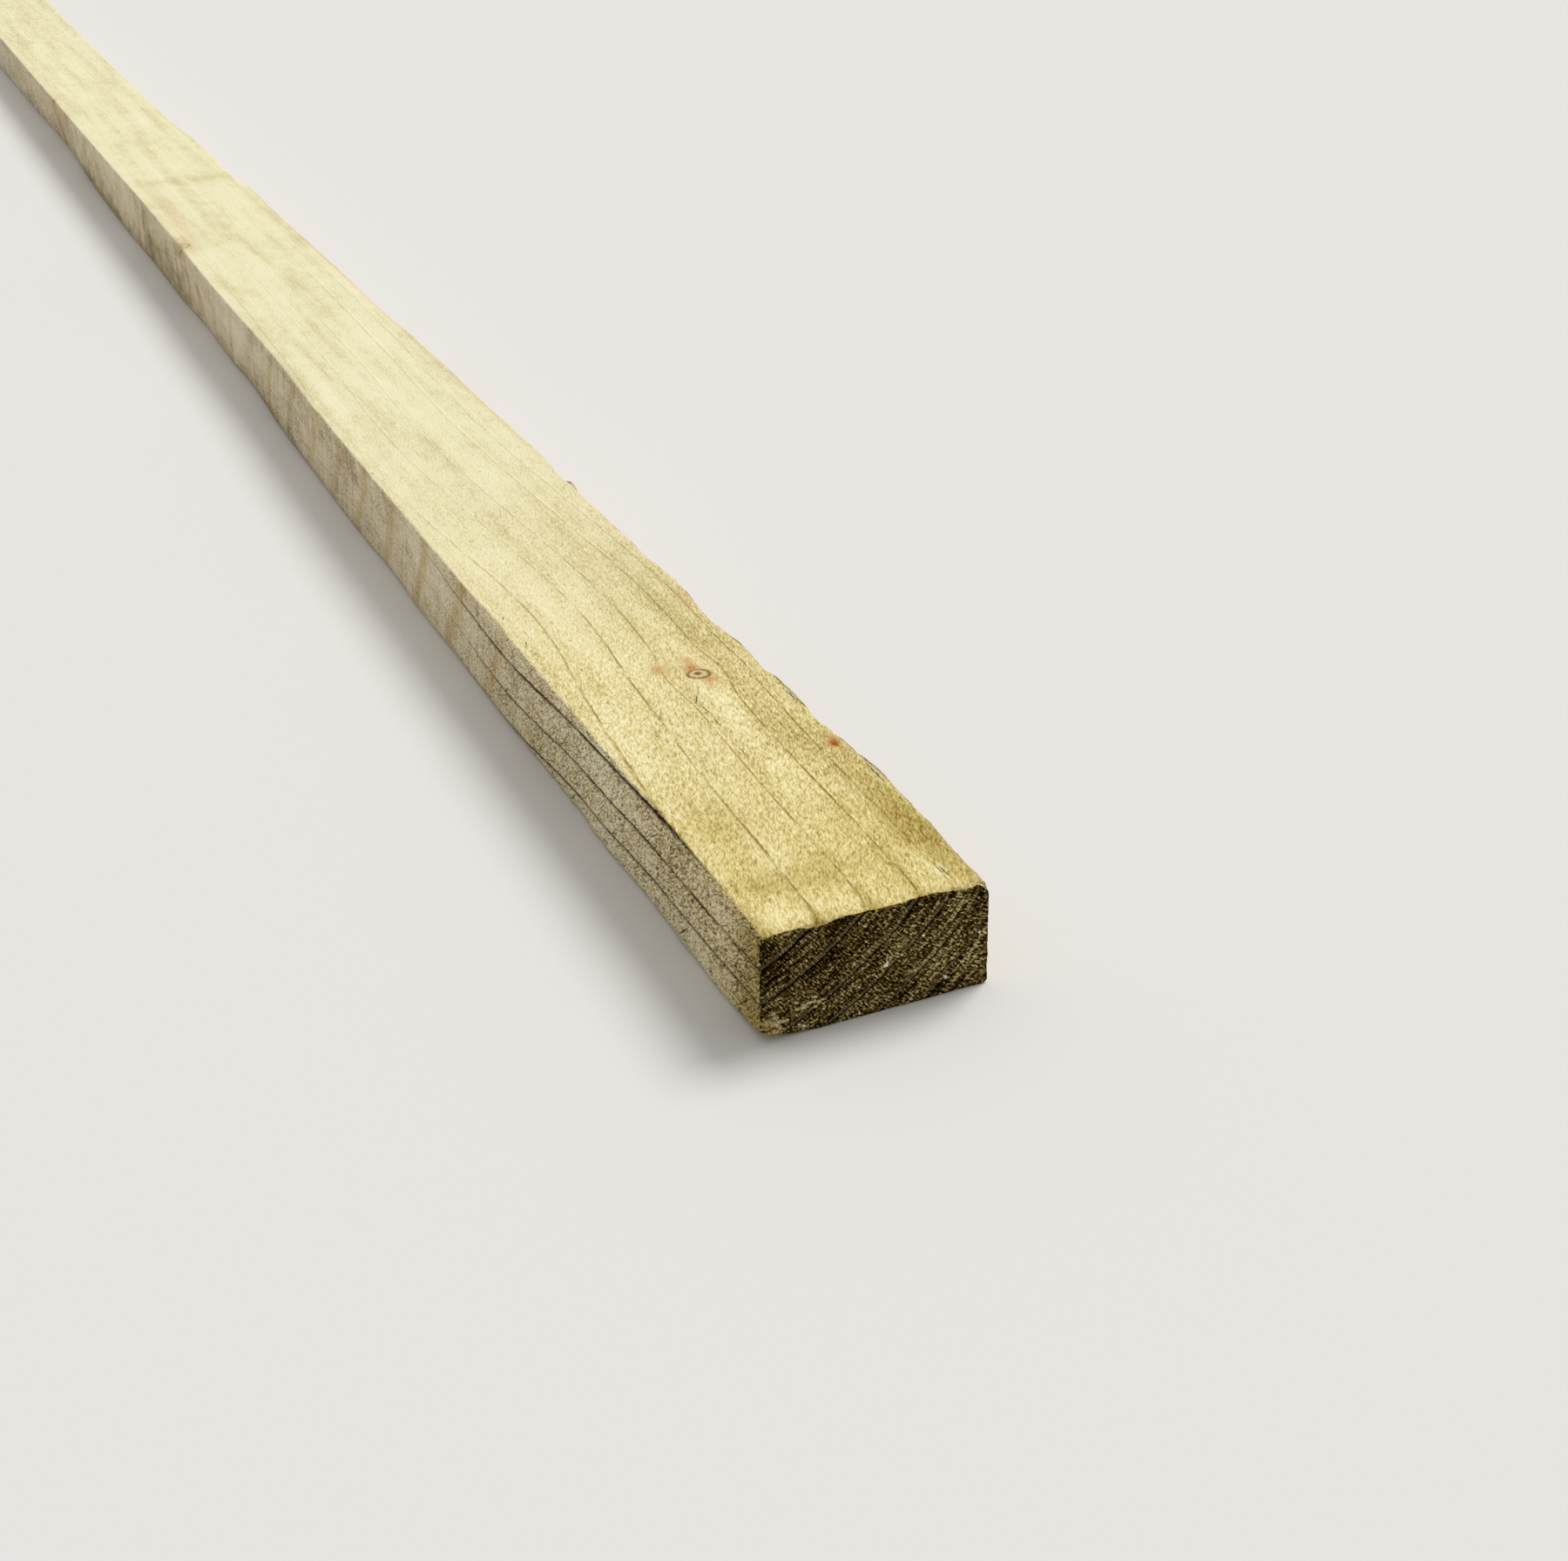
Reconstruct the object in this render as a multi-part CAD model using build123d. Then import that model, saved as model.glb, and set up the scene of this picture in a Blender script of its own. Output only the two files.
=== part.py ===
from build123d import *
import os

# A rough sawn roof batten: one length of pressure treated softwood, lying on its wide face.
# Millimetres. +X runs along the batten, +Y across its width, +Z up.
# The origin is the middle of the underside. The weathered end is the one at -X.

# Sawn section and sold length
length = 2400.0
width = 50.0
thickness = 25.0

# Arrises, as left by the saw and by handling. Right is -Y, left is +Y.
right_top_arris_radius = 1.2
right_bottom_arris_radius = 1.0
left_top_arris_radius = 0.8
left_bottom_arris_radius = 1.5
end_arris_chamfer = 0.5

# Scallops: shallow lens-shaped tears along the top arrises.
# Each is (distance of its middle from the weathered end, its length, its depth square to the arris).
right_scallops = [
    (8.0, 36.0, 1.5),
    (79.0, 18.0, 1.1),
    (111.0, 22.0, 1.3),
    (147.0, 30.0, 1.5),
    (190.0, 24.0, 1.1),
    (260.0, 24.0, 1.2),
    (465.0, 110.0, 1.2),
    (715.0, 60.0, 1.8),
]
left_scallops = [
    (165.0, 30.0, 0.8),
    (590.0, 52.0, 0.9),
]

# Corners knocked off the weathered end: how far each break runs along X, Y and Z
low_left_break = (19.0, 9.0, 2.7)
top_right_break = (5.0, 6.0, 3.4)

weathered_end = -length / 2
left_side = width / 2
right_side = -width / 2


def sawn_section():
    """The cross-section in the YZ plane, with its own radius on each arris."""
    outline = Rectangle(width, thickness, align=(Align.CENTER, Align.MIN))
    arrises = [
        (right_side, thickness, right_top_arris_radius),
        (right_side, 0.0, right_bottom_arris_radius),
        (left_side, thickness, left_top_arris_radius),
        (left_side, 0.0, left_bottom_arris_radius),
    ]
    for across, up, radius in arrises:
        corner = outline.vertices().sort_by_distance((across, up, 0))[0]
        outline = fillet(corner, radius)
    return Plane.YZ * outline


def sawn_stick():
    """The section over the whole length, with both sawn ends lightly eased."""
    stick = extrude(sawn_section(), amount=length / 2, both=True)
    end_faces = stick.faces().sort_by(Axis.X)
    end_edges = end_faces[0].edges() + end_faces[-1].edges()
    return chamfer(end_edges, end_arris_chamfer)


def scallop(side, from_end, along, depth):
    """A wide, shallow disc whose rim bites into a top arris at 45 degrees. side is +1 left, -1 right."""
    radius = (along**2 / 4 + depth**2) / (2 * depth)
    outward = Vector(0, side, 1).normalized()
    corner = Vector(weathered_end + from_end, side * width / 2, thickness)
    disc_plane = Plane(
        origin=corner + outward * (radius - depth),
        x_dir=(1, 0, 0),
        z_dir=outward.cross(Vector(1, 0, 0)),
    )
    return disc_plane * Cylinder(radius, thickness)


def all_scallops():
    """Every tear along the two top arrises. The stretch beyond the last one has plain arrises."""
    tears = [scallop(-1, *tear) for tear in right_scallops]
    tears += [scallop(+1, *tear) for tear in left_scallops]
    return tears


def corner_break(corner, inward, runs):
    """The plane that a broken corner leaves. runs are its lengths along X, Y and Z; inward is the sign of each."""
    legs = [Vector(inward[0] * runs[0], 0, 0), Vector(0, inward[1] * runs[1], 0)]
    legs.append(Vector(0, 0, inward[2] * runs[2]))
    normal = (legs[1] - legs[0]).cross(legs[2] - legs[0])
    if normal.dot(legs[0]) < 0:
        normal = -normal
    return Plane(origin=corner + legs[0], z_dir=normal)


batten = sawn_stick()
for tear in all_scallops():
    batten -= tear

breaks = [
    corner_break(Vector(weathered_end, left_side, 0), (1, -1, 1), low_left_break),
    corner_break(
        Vector(weathered_end, right_side, thickness), (1, 1, -1), top_right_break
    ),
]
for break_plane in breaks:
    batten = split(batten, bisect_by=break_plane, keep=Keep.TOP)

os.makedirs("parts", exist_ok=True)
export_step(batten, "parts/batten.step")

solids = batten.solids()
box = batten.bounding_box().size
print("solids", len(solids), "volume mm3", round(sum(s.volume for s in solids)))
print("size mm", round(box.X, 3), round(box.Y, 3), round(box.Z, 3))
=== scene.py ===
# Roof batten: one length of band sawn, pressure treated softwood, lying on its wide face.
# All shapes are worked out in millimetres: u is the distance from the weathered end, y runs across the
# batten from its middle (left is plus) and z is the height above its underside.
import math

import bpy
import numpy as np
from mathutils import Matrix, Vector


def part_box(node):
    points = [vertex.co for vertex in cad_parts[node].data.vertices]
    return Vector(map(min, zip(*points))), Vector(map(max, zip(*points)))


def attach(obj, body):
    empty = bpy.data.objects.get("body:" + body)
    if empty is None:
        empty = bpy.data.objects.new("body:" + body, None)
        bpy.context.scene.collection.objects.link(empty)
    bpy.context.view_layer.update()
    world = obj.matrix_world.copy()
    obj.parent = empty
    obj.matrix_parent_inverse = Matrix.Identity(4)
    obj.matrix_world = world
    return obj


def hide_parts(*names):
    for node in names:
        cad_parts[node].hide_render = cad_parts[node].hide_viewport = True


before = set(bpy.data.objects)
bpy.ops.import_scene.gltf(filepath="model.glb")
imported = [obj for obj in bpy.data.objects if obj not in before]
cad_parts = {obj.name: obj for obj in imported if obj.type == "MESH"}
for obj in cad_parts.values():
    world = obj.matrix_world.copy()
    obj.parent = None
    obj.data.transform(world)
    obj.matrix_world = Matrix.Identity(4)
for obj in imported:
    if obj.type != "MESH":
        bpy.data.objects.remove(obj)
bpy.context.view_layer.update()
battenLow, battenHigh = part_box("batten")

mm = 0.001
length = (battenHigh[0] - battenLow[0]) / mm
width = (battenHigh[1] - battenLow[1]) / mm
thickness = (battenHigh[2] - battenLow[2]) / mm
halfWidth = width / 2
print("frame loaded:", round(length), "x", round(width), "x", round(thickness), "mm")


# Numbers on arrays

def easeBetween(start, end, x):
    # 0 before start, 1 after end, and 3t squared less 2t cubed in between
    t = np.clip((x - start) / (end - start), 0.0, 1.0)
    return t * t * (3.0 - 2.0 * t)


def bell(x, middle, reach):
    # A bell curve: 1 at its middle, and e to the power minus 1 at its reach
    return np.exp(-(((x - middle) / reach) ** 2))


def smoothThrough(x, points):
    # A curve through given points: between two of them it is the cubic that has at each end
    # the slope from that point's neighbours
    px, py = np.array(points, dtype=float).T
    slope = np.gradient(py, px)
    x = np.clip(x, px[0], px[-1])
    i = np.clip(np.searchsorted(px, x, side="right") - 1, 0, len(px) - 2)
    gap = px[i + 1] - px[i]
    t = (x - px[i]) / gap
    stay = 1.0 - 3.0 * t**2 + 2.0 * t**3
    leave = (t - 2.0 * t**2 + t**3) * gap
    arrive = (t**3 - t**2) * gap
    return stay * py[i] + (1.0 - stay) * py[i + 1] + leave * slope[i] + arrive * slope[i + 1]


def latticeNoise(u, y, z, cell, seed):
    # Each corner of a lattice with the given cell gets a random height made from its whole-number
    # place, and the eight corners round a point are mixed by smooth weights. Runs from -1 to 1.
    places = [np.asarray(a, dtype=float) / c for a, c in zip((u, y, z), cell)]
    floors = [np.floor(p).astype(np.int64) for p in places]
    parts = [p - f for p, f in zip(places, floors)]
    parts = [p * p * (3.0 - 2.0 * p) for p in parts]
    total = 0.0
    for corner in range(8):
        steps = (corner & 1, corner >> 1 & 1, corner >> 2 & 1)
        key = (floors[0] + steps[0]) * 73856093
        key = key ^ ((floors[1] + steps[1]) * 19349663)
        key = key ^ ((floors[2] + steps[2]) * 83492791) ^ (seed * 2654435761)
        key = key & 0xFFFFFFFF
        key = ((key ^ (key >> 15)) * 1274126177) & 0xFFFFFFFF
        key = ((key ^ (key >> 13)) * 1103515245) & 0xFFFFFFFF
        height = ((key >> 8) & 0xFFFF) / 32767.5 - 1.0
        weight = 1.0
        for part, step in zip(parts, steps):
            weight = weight * (part if step else 1.0 - part)
        total = total + height * weight
    return total


def layeredNoise(u, y, z, cell, layers, seed):
    # Lattice noise added to itself at half the cell and half the height, layer by layer
    total = 0.0
    for layer in range(layers):
        finer = [c / 2.0**layer for c in cell]
        total = total + latticeNoise(u, y, z, finer, seed + layer) / 2.0**layer
    return total / (2.0 - 0.5 ** (layers - 1))


# The grain: the rings' common centre lies outside the stick, up and to its left

grain = {
    "pith": (59.8, 82.2),  # across and up
    "ringRadii": [
        44.5, 52.0, 59.5, 67.3, 75.4, 82.4, 90.9, 96.6, 102.8, 108.3, 112.3, 115.8, 119.0, 122.4, 126.0,
    ],
    "sweep": [  # how far the pith line has risen at each distance from the weathered end
        (0, 1.2), (20, 0.4), (60, -0.8), (100, -2.8), (165, -6.9), (185, -6.2), (240, -2.6), (310, 0.4),
        (395, -1.7), (520, -3.5), (700, -2.4), (950, -5.4), (1250, -2.8), (1600, -4.8), (2000, -2.6),
        (2400, -4.0),
    ],
    "waver": 0.25,
    "waverCell": (55.0, 9.0, 9.0),
}

# Knots are branches that run out from the pith. Each is given where it meets the top or left face:
# its place, its radius, how much longer it is along the stick and how far it pushes the grain aside.
knots = [
    {"at": (112.2, -9.2, 25.0), "radius": 1.75, "stretch": 1.45, "push": 2.6},
    {"at": (588.0, 24.0, 25.0), "radius": 3.2, "stretch": 1.2, "push": 2.0},
    {"at": (950.0, 25.0, 14.0), "radius": 5.0, "stretch": 1.3, "push": 2.5},
    {"at": (1480.0, 6.0, 25.0), "radius": 4.0, "stretch": 1.2, "push": 2.2},
    {"at": (1985.0, -14.0, 25.0), "radius": 3.0, "stretch": 1.2, "push": 1.8},
]


def knotLine(knot):
    # The way a branch runs: from the pith through the knot's place
    at = np.array(knot["at"])
    line = np.array([0.0, at[1] - grain["pith"][0], at[2] - grain["pith"][1]])
    return at, line / np.linalg.norm(line)


def knotReach(knot, u, y, z):
    # Distance from the knot's own line, in knot radii
    at, line = knotLine(knot)
    off = [np.asarray(c, dtype=float) - a for c, a in zip((u, y, z), at)]
    along = sum(o * d for o, d in zip(off, line))
    across = [o - along * d for o, d in zip(off, line)]
    across[0] = across[0] / knot["stretch"]
    return np.sqrt(sum(a * a for a in across)) / knot["radius"]


def pithRise(u):
    return grain["pith"][1] + smoothThrough(u, grain["sweep"])


def ringPhase(u, y, z):
    # The ring number at a point: a smooth curve from the distance to the pith line to the count of
    # dark lines passed on the way out. Near a knot the point is first moved towards the knot's line,
    # which bows the rings round it.
    y = np.asarray(y, dtype=float)
    for knot in knots:
        nearby = np.exp(-((knotReach(knot, u, y, z) / 4.0) ** 2))
        y = y - knot["push"] * nearby * np.tanh((y - knot["at"][1]) / (2.0 * knot["radius"]))
    radius = np.hypot(grain["pith"][0] - y, pithRise(u) - z)
    radius = radius + grain["waver"] * layeredNoise(u, y, z, grain["waverCell"], 3, 11)
    counted = [(r, n) for n, r in enumerate(grain["ringRadii"])]
    return smoothThrough(radius, counted)


# The sawn stick itself

stick = {
    "columns": {"under": 24, "left": 40, "top": 96, "right": 40},
    "crowding": 0.35,  # how much closer the columns stand at the arrises
    "nearStep": 0.72,
    "nearStretch": 130.0,
    "stepGrowth": 0.0235,
    "farRows": [9.0, 5.5, 3.2, 1.8, 1.0, 0.5, 0.2, 0.0],  # before the far end
    "endRows": [0.15, 0.35, 0.65],  # behind the weathered end
    "drawToRings": 0.7,  # how much closer the columns stand at a ring's dark line
    "topRight": 1.2,  # arris radii
    "underRight": 1.0,
    "topLeft": 0.8,
    "underLeft": 1.5,
    "endEase": 0.45,
    "endDroop": 0.55,  # how far the top face bends down at the weathered end
    "fringe": [  # how far down the end its pale fringe hangs, across the batten
        (-25.0, 1.2), (-21.0, 1.7), (-18.0, 1.2), (-12.0, 0.7), (-6.0, 0.5), (4.0, 0.4), (9.5, 0.8),
        (13.5, 1.6), (17.0, 0.7), (20.0, 0.5), (25.0, 1.1),
    ],
    "sawPitch": 27.0,  # distance between the band saw's slanted marks on the sides
    "proud": 1.2,  # the furthest that the skin may stand out sideways
    "sliverProud": 1.4,
}

# Tears along the top arrises: side, place of the middle, length, depth square to the arris
tears = [
    (-1, 8.0, 36.0, 1.5), (-1, 79.0, 18.0, 1.1), (-1, 111.0, 22.0, 1.3), (-1, 147.0, 30.0, 1.5),
    (-1, 190.0, 24.0, 1.1), (-1, 260.0, 24.0, 1.2), (-1, 465.0, 110.0, 1.2), (-1, 715.0, 60.0, 1.8),
    (1, 165.0, 30.0, 0.8), (1, 590.0, 52.0, 0.9),
]

# Corners broken off the weathered end: the corner, and how far the break runs along u, y and z
brokenCorners = [
    {"y": 1, "z": 0, "runs": (19.0, 9.0, 2.7)},
    {"y": -1, "z": 1, "runs": (5.0, 6.0, 3.4)},
]

# The saw wandered: how far each arris stands out sideways from its straight line, along the stick
arrisWander = [
    {"y": -1, "z": 1, "reach": 15.0, "out": [
        (0, -0.2), (25, 0.0), (50, 0.8), (68, 0.2), (85, 0.2), (120, 0.8), (137, 0.2), (147, 0.8),
        (190, 1.0), (230, 0.8), (290, 1.6), (525, 1.1), (640, 0.2), (695, 0.4), (730, -0.8),
        (800, -1.1), (850, -2.4), (1050, -3.2), (1500, 0.2), (2400, 0.0),
    ]},
    {"y": 1, "z": 0, "reach": 12.0, "out": [
        (0, 0.3), (25, 0.5), (65, 0.5), (85, 1.1), (100, 0.6), (145, 1.2), (205, 1.2), (240, 1.4),
        (262, 0.7), (300, 1.5), (350, 1.1), (425, 0.3), (455, -1.0), (500, -0.6), (550, -1.0),
        (600, 0.0), (660, -0.3), (740, 0.6), (850, -0.2), (950, -2.6), (1050, -1.1), (1200, 0.2),
        (2400, 0.0),
    ]},
    {"y": 1, "z": 1, "reach": 5.0, "out": [
        (0, 0.0), (60, 0.0), (250, 0.5), (350, 0.4), (400, -0.5), (520, 0.1), (660, -0.6), (780, 0.0),
        (2400, 0.0),
    ]},
]

# Dark drying checks on the left face: ring number, where each starts and ends, how open it is
checks = [
    {"ring": 3, "start": 2.0, "end": 235.0, "open": 1.5},
    {"ring": 4, "start": -12.0, "end": 205.0, "open": 1.15},
    {"ring": 5, "start": -8.0, "end": 190.0, "open": 1.1},
]


def columnLine(count):
    # Even steps from 0 to 1 drawn towards both ends: t less a share of sin(2 pi t) / 2 pi
    t = np.arange(count) / count
    return t - stick["crowding"] * np.sin(2.0 * np.pi * t) / (2.0 * np.pi)


def outlineColumns(finer):
    # The rectangle of the section, once round: under, up the left side, over the top, down the right.
    # Returns each column's y, z and outward direction.
    counts = {face: n * finer for face, n in stick["columns"].items()}
    under, left, top, right = [columnLine(counts[f]) for f in ("under", "left", "top", "right")]
    still = np.zeros_like
    y = [-halfWidth + width * under, halfWidth + still(left)]
    y += [halfWidth - width * top, -halfWidth + still(right)]
    z = [still(under), thickness * left, thickness + still(top), thickness - thickness * right]
    ny = [still(under), 1.0 + still(left), still(top), -1.0 + still(right)]
    nz = [-1.0 + still(under), still(left), 1.0 + still(top), still(right)]
    return [np.concatenate(part) for part in (y, z, ny, nz)]


def stationRows():
    # Even steps over the near stretch, then steps that grow in proportion to the distance past it
    near = np.arange(0.0, stick["nearStretch"], stick["nearStep"])
    near = near[near > stick["endRows"][-1] + 0.3]
    k = stick["stepGrowth"]
    first = stick["nearStep"]
    span = length - stick["farRows"][0] - stick["nearStretch"]
    count = int(math.log(1.0 + k * span / first) / k)
    grown = first / k * (np.exp(k * np.arange(count + 1)) - 1.0)
    grown *= (span - 4.0) / grown[-1]
    far = length - np.array(stick["farRows"])
    return np.concatenate([stick["endRows"], near, stick["nearStretch"] + grown, far])


def drawnToRings(u, y, z, ny, nz):
    # Slides each column along its own face towards the nearest dark line: the slide is minus a share
    # of sin(2 pi n) / 2 pi of a ring, where n is the ring number there, and fades out at the arrises
    step = 0.05
    slideY, slideZ = np.abs(nz), np.abs(ny)
    here = ringPhase(u, y, z)
    slope = (ringPhase(u, y + step * slideY, z + step * slideZ) - here) / step
    slope = np.sign(slope) * np.maximum(np.abs(slope), 0.05)
    toArris = np.where(slideY > 0.5, halfWidth - np.abs(y), np.minimum(z, thickness - z))
    share = stick["drawToRings"] * easeBetween(0.3, 3.0, toArris)
    slide = -share * np.sin(2.0 * np.pi * here) / (2.0 * np.pi) / slope
    return y + slide * slideY, z + slide * slideZ


def roundedArrises(u, y, z, ny, nz):
    # Inside a corner square of side r, a point is pushed out from the square's inner corner until it
    # is r away, and its normal points the same way
    corners = [
        (-1, 1, stick["topRight"]), (-1, 0, stick["underRight"]),
        (1, 1, stick["topLeft"]), (1, 0, stick["underLeft"]),
    ]
    for side, upper, radius in corners:
        swell = layeredNoise(u, 0.0 * u, 0.0 * u, (23.0, 1.0, 1.0), 3, 40 + side + 5 * upper)
        radius = radius * (1.0 + 0.25 * swell)
        inY = radius - (halfWidth - side * y)
        inZ = radius - ((thickness - z) if upper else z)
        inside = (inY > 0) & (inZ > 0)
        reach = np.maximum(np.hypot(inY, inZ), 1e-6)
        outY, outZ = inY / reach, inZ / reach
        roundY = side * (halfWidth - radius + radius * outY)
        roundZ = thickness - radius + radius * outZ if upper else radius - radius * outZ
        y = np.where(inside, roundY, y)
        z = np.where(inside, roundZ, z)
        ny = np.where(inside, side * outY, ny)
        nz = np.where(inside, outZ if upper else -outZ, nz)
    return y, z, ny, nz


def checkAmount(u, phase, ny):
    # How open the drying checks are at a point: each check swells and pinches along its run on the
    # left face, and belongs to the nearest ring
    amount = 0.0
    for check in checks:
        run = easeBetween(check["start"], check["start"] + 14.0, u)
        run = run * (1.0 - easeBetween(check["end"] - 80.0, check["end"], u))
        swell = 0.8 + 0.6 * layeredNoise(u, 0.0 * u, 0.0 * u, (15.0, 1.0, 1.0), 3, 60 + check["ring"])
        mine = np.abs(phase - check["ring"]) < 0.5
        amount = amount + run * check["open"] * np.clip(swell, 0.4, 1.2) * mine
    return amount * easeBetween(0.15, 0.6, ny)


def skinRelief(u, y, z, ny, nz):
    # Height of the skin above the planed section: broad saw waves, band saw marks that slant across
    # the sides, soft wood sunk between the rings, drying checks, knots and the woolly sawn nap
    phase = ringPhase(u, y, z)
    part = phase - np.floor(phase)
    waves = 0.20 * layeredNoise(u, y, z, (70.0, 18.0, 18.0), 3, 21)
    slant = u - 0.85 * (thickness - z) * np.abs(ny) + 0.25 * y * np.abs(nz)
    drift = 2.0 * latticeNoise(u, y, z, (60.0, 30.0, 30.0), 24)
    teeth = np.sin(2.0 * np.pi * slant / stick["sawPitch"] + drift)
    strong = np.abs(ny) * easeBetween(120.0, 200.0, u) * (1.0 - easeBetween(450.0, 650.0, u))
    marks = 0.05 * teeth * (0.3 * (1.0 - easeBetween(450.0, 650.0, u)) + 1.4 * strong)
    ridge = 0.10 * easeBetween(0.55, 0.97, part) - 0.16 * (1.0 - easeBetween(0.0, 0.22, part))
    ridge = ridge * (0.55 + 0.45 * latticeNoise(u, y, z, (30.0, 8.0, 8.0), 25))
    nap = napHeight(u, y, z) * (0.06 + 0.06 * np.abs(ny)) * fineShare(u)
    lineAway = np.abs(phase - np.round(phase))
    split = -0.8 * checkAmount(u, phase, ny) * np.clip(1.0 - lineAway / 0.045, 0.0, 1.0)
    relief = waves + marks + ridge + nap + split
    for knot in knots:
        reach = knotReach(knot, u, y, z)
        relief = relief + 0.22 * np.exp(-((reach / 2.0) ** 2)) - 0.25 * bell(reach, 1.0, 0.18)
    return relief


def fineShare(u):
    # Relief a few mm long fades out where the rows stand too far apart to carry it
    return 1.0 - easeBetween(150.0, 300.0, u) * (1.0 - easeBetween(length - 12.0, length - 4.0, u))


def napHeight(u, y, z):
    # The sawn nap, from -1 to 1: woolly tufts a few mm long that lean a little across the grain
    lean = 0.22 * u
    return layeredNoise(u, y + lean, z + lean, (3.6, 1.2, 1.2), 2, 26)


def wornArrises(u, y, z):
    # Every tear is a wide disc whose rim bites into the arris at 45 degrees: along that diagonal a
    # point goes no further out than the rim, which is the depth less the rise of a circle's arc
    for side, middle, long, depth in tears:
        radius = (long**2 / 4.0 + depth**2) / (2.0 * depth)
        run = np.clip(np.abs(u - middle) / radius, 0.0, 1.0)
        ragged = 0.16 * layeredNoise(u, y, z, (3.2, 2.5, 2.5), 3, 31)
        rim = -depth + radius * (1.0 - np.sqrt(1.0 - run**2)) + ragged
        out = (side * y - halfWidth + z - thickness) / math.sqrt(2.0)
        over = np.where(np.abs(u - middle) < 0.9 * long, np.maximum(out - rim, 0.0), 0.0) / math.sqrt(2.0)
        y = y - side * over
        z = z - over
    # A broken corner is a rough plane: a point beyond it is moved straight back onto it
    for broken in brokenCorners:
        runs = broken["runs"]
        upOrDown = -1.0 if broken["z"] else 1.0
        fromFace = (thickness - z) if broken["z"] else z
        deep = u / runs[0] + (halfWidth - broken["y"] * y) / runs[1] + fromFace / runs[2]
        gap = 1.0 + 0.22 * layeredNoise(u, y, z, (2.2, 1.6, 1.6), 3, 33) - deep
        missing = 0.5 * (gap + np.sqrt(gap**2 + 0.05)) - 0.02
        missing = np.where(gap > -0.6, np.maximum(missing, 0.0), 0.0)
        steep = sum(1.0 / r**2 for r in runs)
        y = y - broken["y"] * missing / runs[1] / steep
        z = z + upOrDown * missing / runs[2] / steep
        u = u + missing / runs[0] / steep
    return u, y, z


def wanderedArrises(u, y, z):
    # Near an arris the section is wider or narrower than it should be: the arris's own sideways
    # shift, times a bell of the distance from it
    for arris in arrisWander:
        away = np.hypot(halfWidth - arris["y"] * y, (thickness - z) if arris["z"] else z)
        y = y + arris["y"] * smoothThrough(u, arris["out"]) * bell(away, 0.0, arris["reach"])
    return y


def toSurface(u, y, z, ny, nz):
    # Brings points of the square section, with their outward directions, to the stick's real surface
    y, z, ny, nz = roundedArrises(u, y, z, ny, nz)
    fromEnd = np.minimum(u, length - u)
    eased = np.clip(1.0 - fromEnd / stick["endEase"], 0.0, 1.0)
    inset = stick["endEase"] * (1.0 - np.sqrt(1.0 - eased**2 * 0.98))
    ragged = 0.22 * bell(fromEnd, 0.0, 1.6) * layeredNoise(u, y, z, (1.5, 1.3, 1.3), 2, 35)
    out = skinRelief(u, y, z, ny, nz) - inset + ragged
    y = y + ny * out
    z = z + nz * out
    toArris = np.minimum(np.abs(halfWidth - np.abs(y)), 9.0)
    toArris = toArris + np.minimum(np.minimum(np.abs(z), np.abs(thickness - z)), 9.0)
    chewed = np.abs(0.36 * np.exp(-toArris / 1.1) * layeredNoise(u, y, z, (3.2, 2.0, 2.0), 3, 37))
    chewed = chewed * (0.3 + 0.7 * fineShare(u))
    y = y - np.sign(y) * chewed
    z = z + np.where(z > thickness / 2, -1.0, 1.0) * chewed
    u, y, z = wornArrises(u + 0.0, y, z)
    y = wanderedArrises(u, y, z)
    bent = stick["endDroop"] * (1.0 + 0.8 * layeredNoise(0.0 * u, y, 0.0 * u, (1.0, 7.0, 1.0), 2, 39))
    z = z - bent * bell(u, 0.0, 2.6) * bell(thickness - z, 0.0, 4.0)
    z = np.clip(z, 0.02, thickness + 0.45)
    y = np.clip(y, -halfWidth - stick["proud"], halfWidth + stick["proud"])
    return u, y, z, ny, nz


def skinPoints(u, finer):
    # A grid of rows (distances u) by columns round the section, brought to the stick's real surface
    y, z, ny, nz = outlineColumns(finer)
    u, y, z, ny, nz = np.broadcast_arrays(u[:, None], y, z, ny, nz)
    y, z = drawnToRings(u, y, z, ny, nz)
    return toSurface(u, y, z, ny, nz)


def roundPith(u, y, z):
    # Distance from the pith, and distance round it at a middling radius
    across, up = grain["pith"][0] - y, pithRise(u) - z
    return np.hypot(across, up), 85.0 * np.arctan2(across, up)


def endRelief(u, y, z, deep):
    # Depth of the cross-cut end: soft wood torn out just past each dark line, hard latewood standing
    # as a thin ridge before it, and crumbly sawn fibres in rows square to the rings
    phase = ringPhase(u, y, z)
    part = phase - np.floor(phase)
    out, arc = roundPith(u, y, z)
    still = 0.0 * y
    uneven = 0.8 + 0.4 * latticeNoise(still, y, z, (9.0, 5.0, 5.0), 51)
    groove = deep * (1.0 - easeBetween(0.0, 0.10, part)) * uneven
    ridge = 0.18 * easeBetween(0.80, 0.96, part)
    crumbs = 0.14 * layeredNoise(still, out, arc, (1.0, 1.1, 0.6), 2, 52)
    waves = 0.20 * layeredNoise(still, y, z, (1.0, 7.0, 7.0), 3, 55)
    return groove - ridge + crumbs + waves


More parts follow.
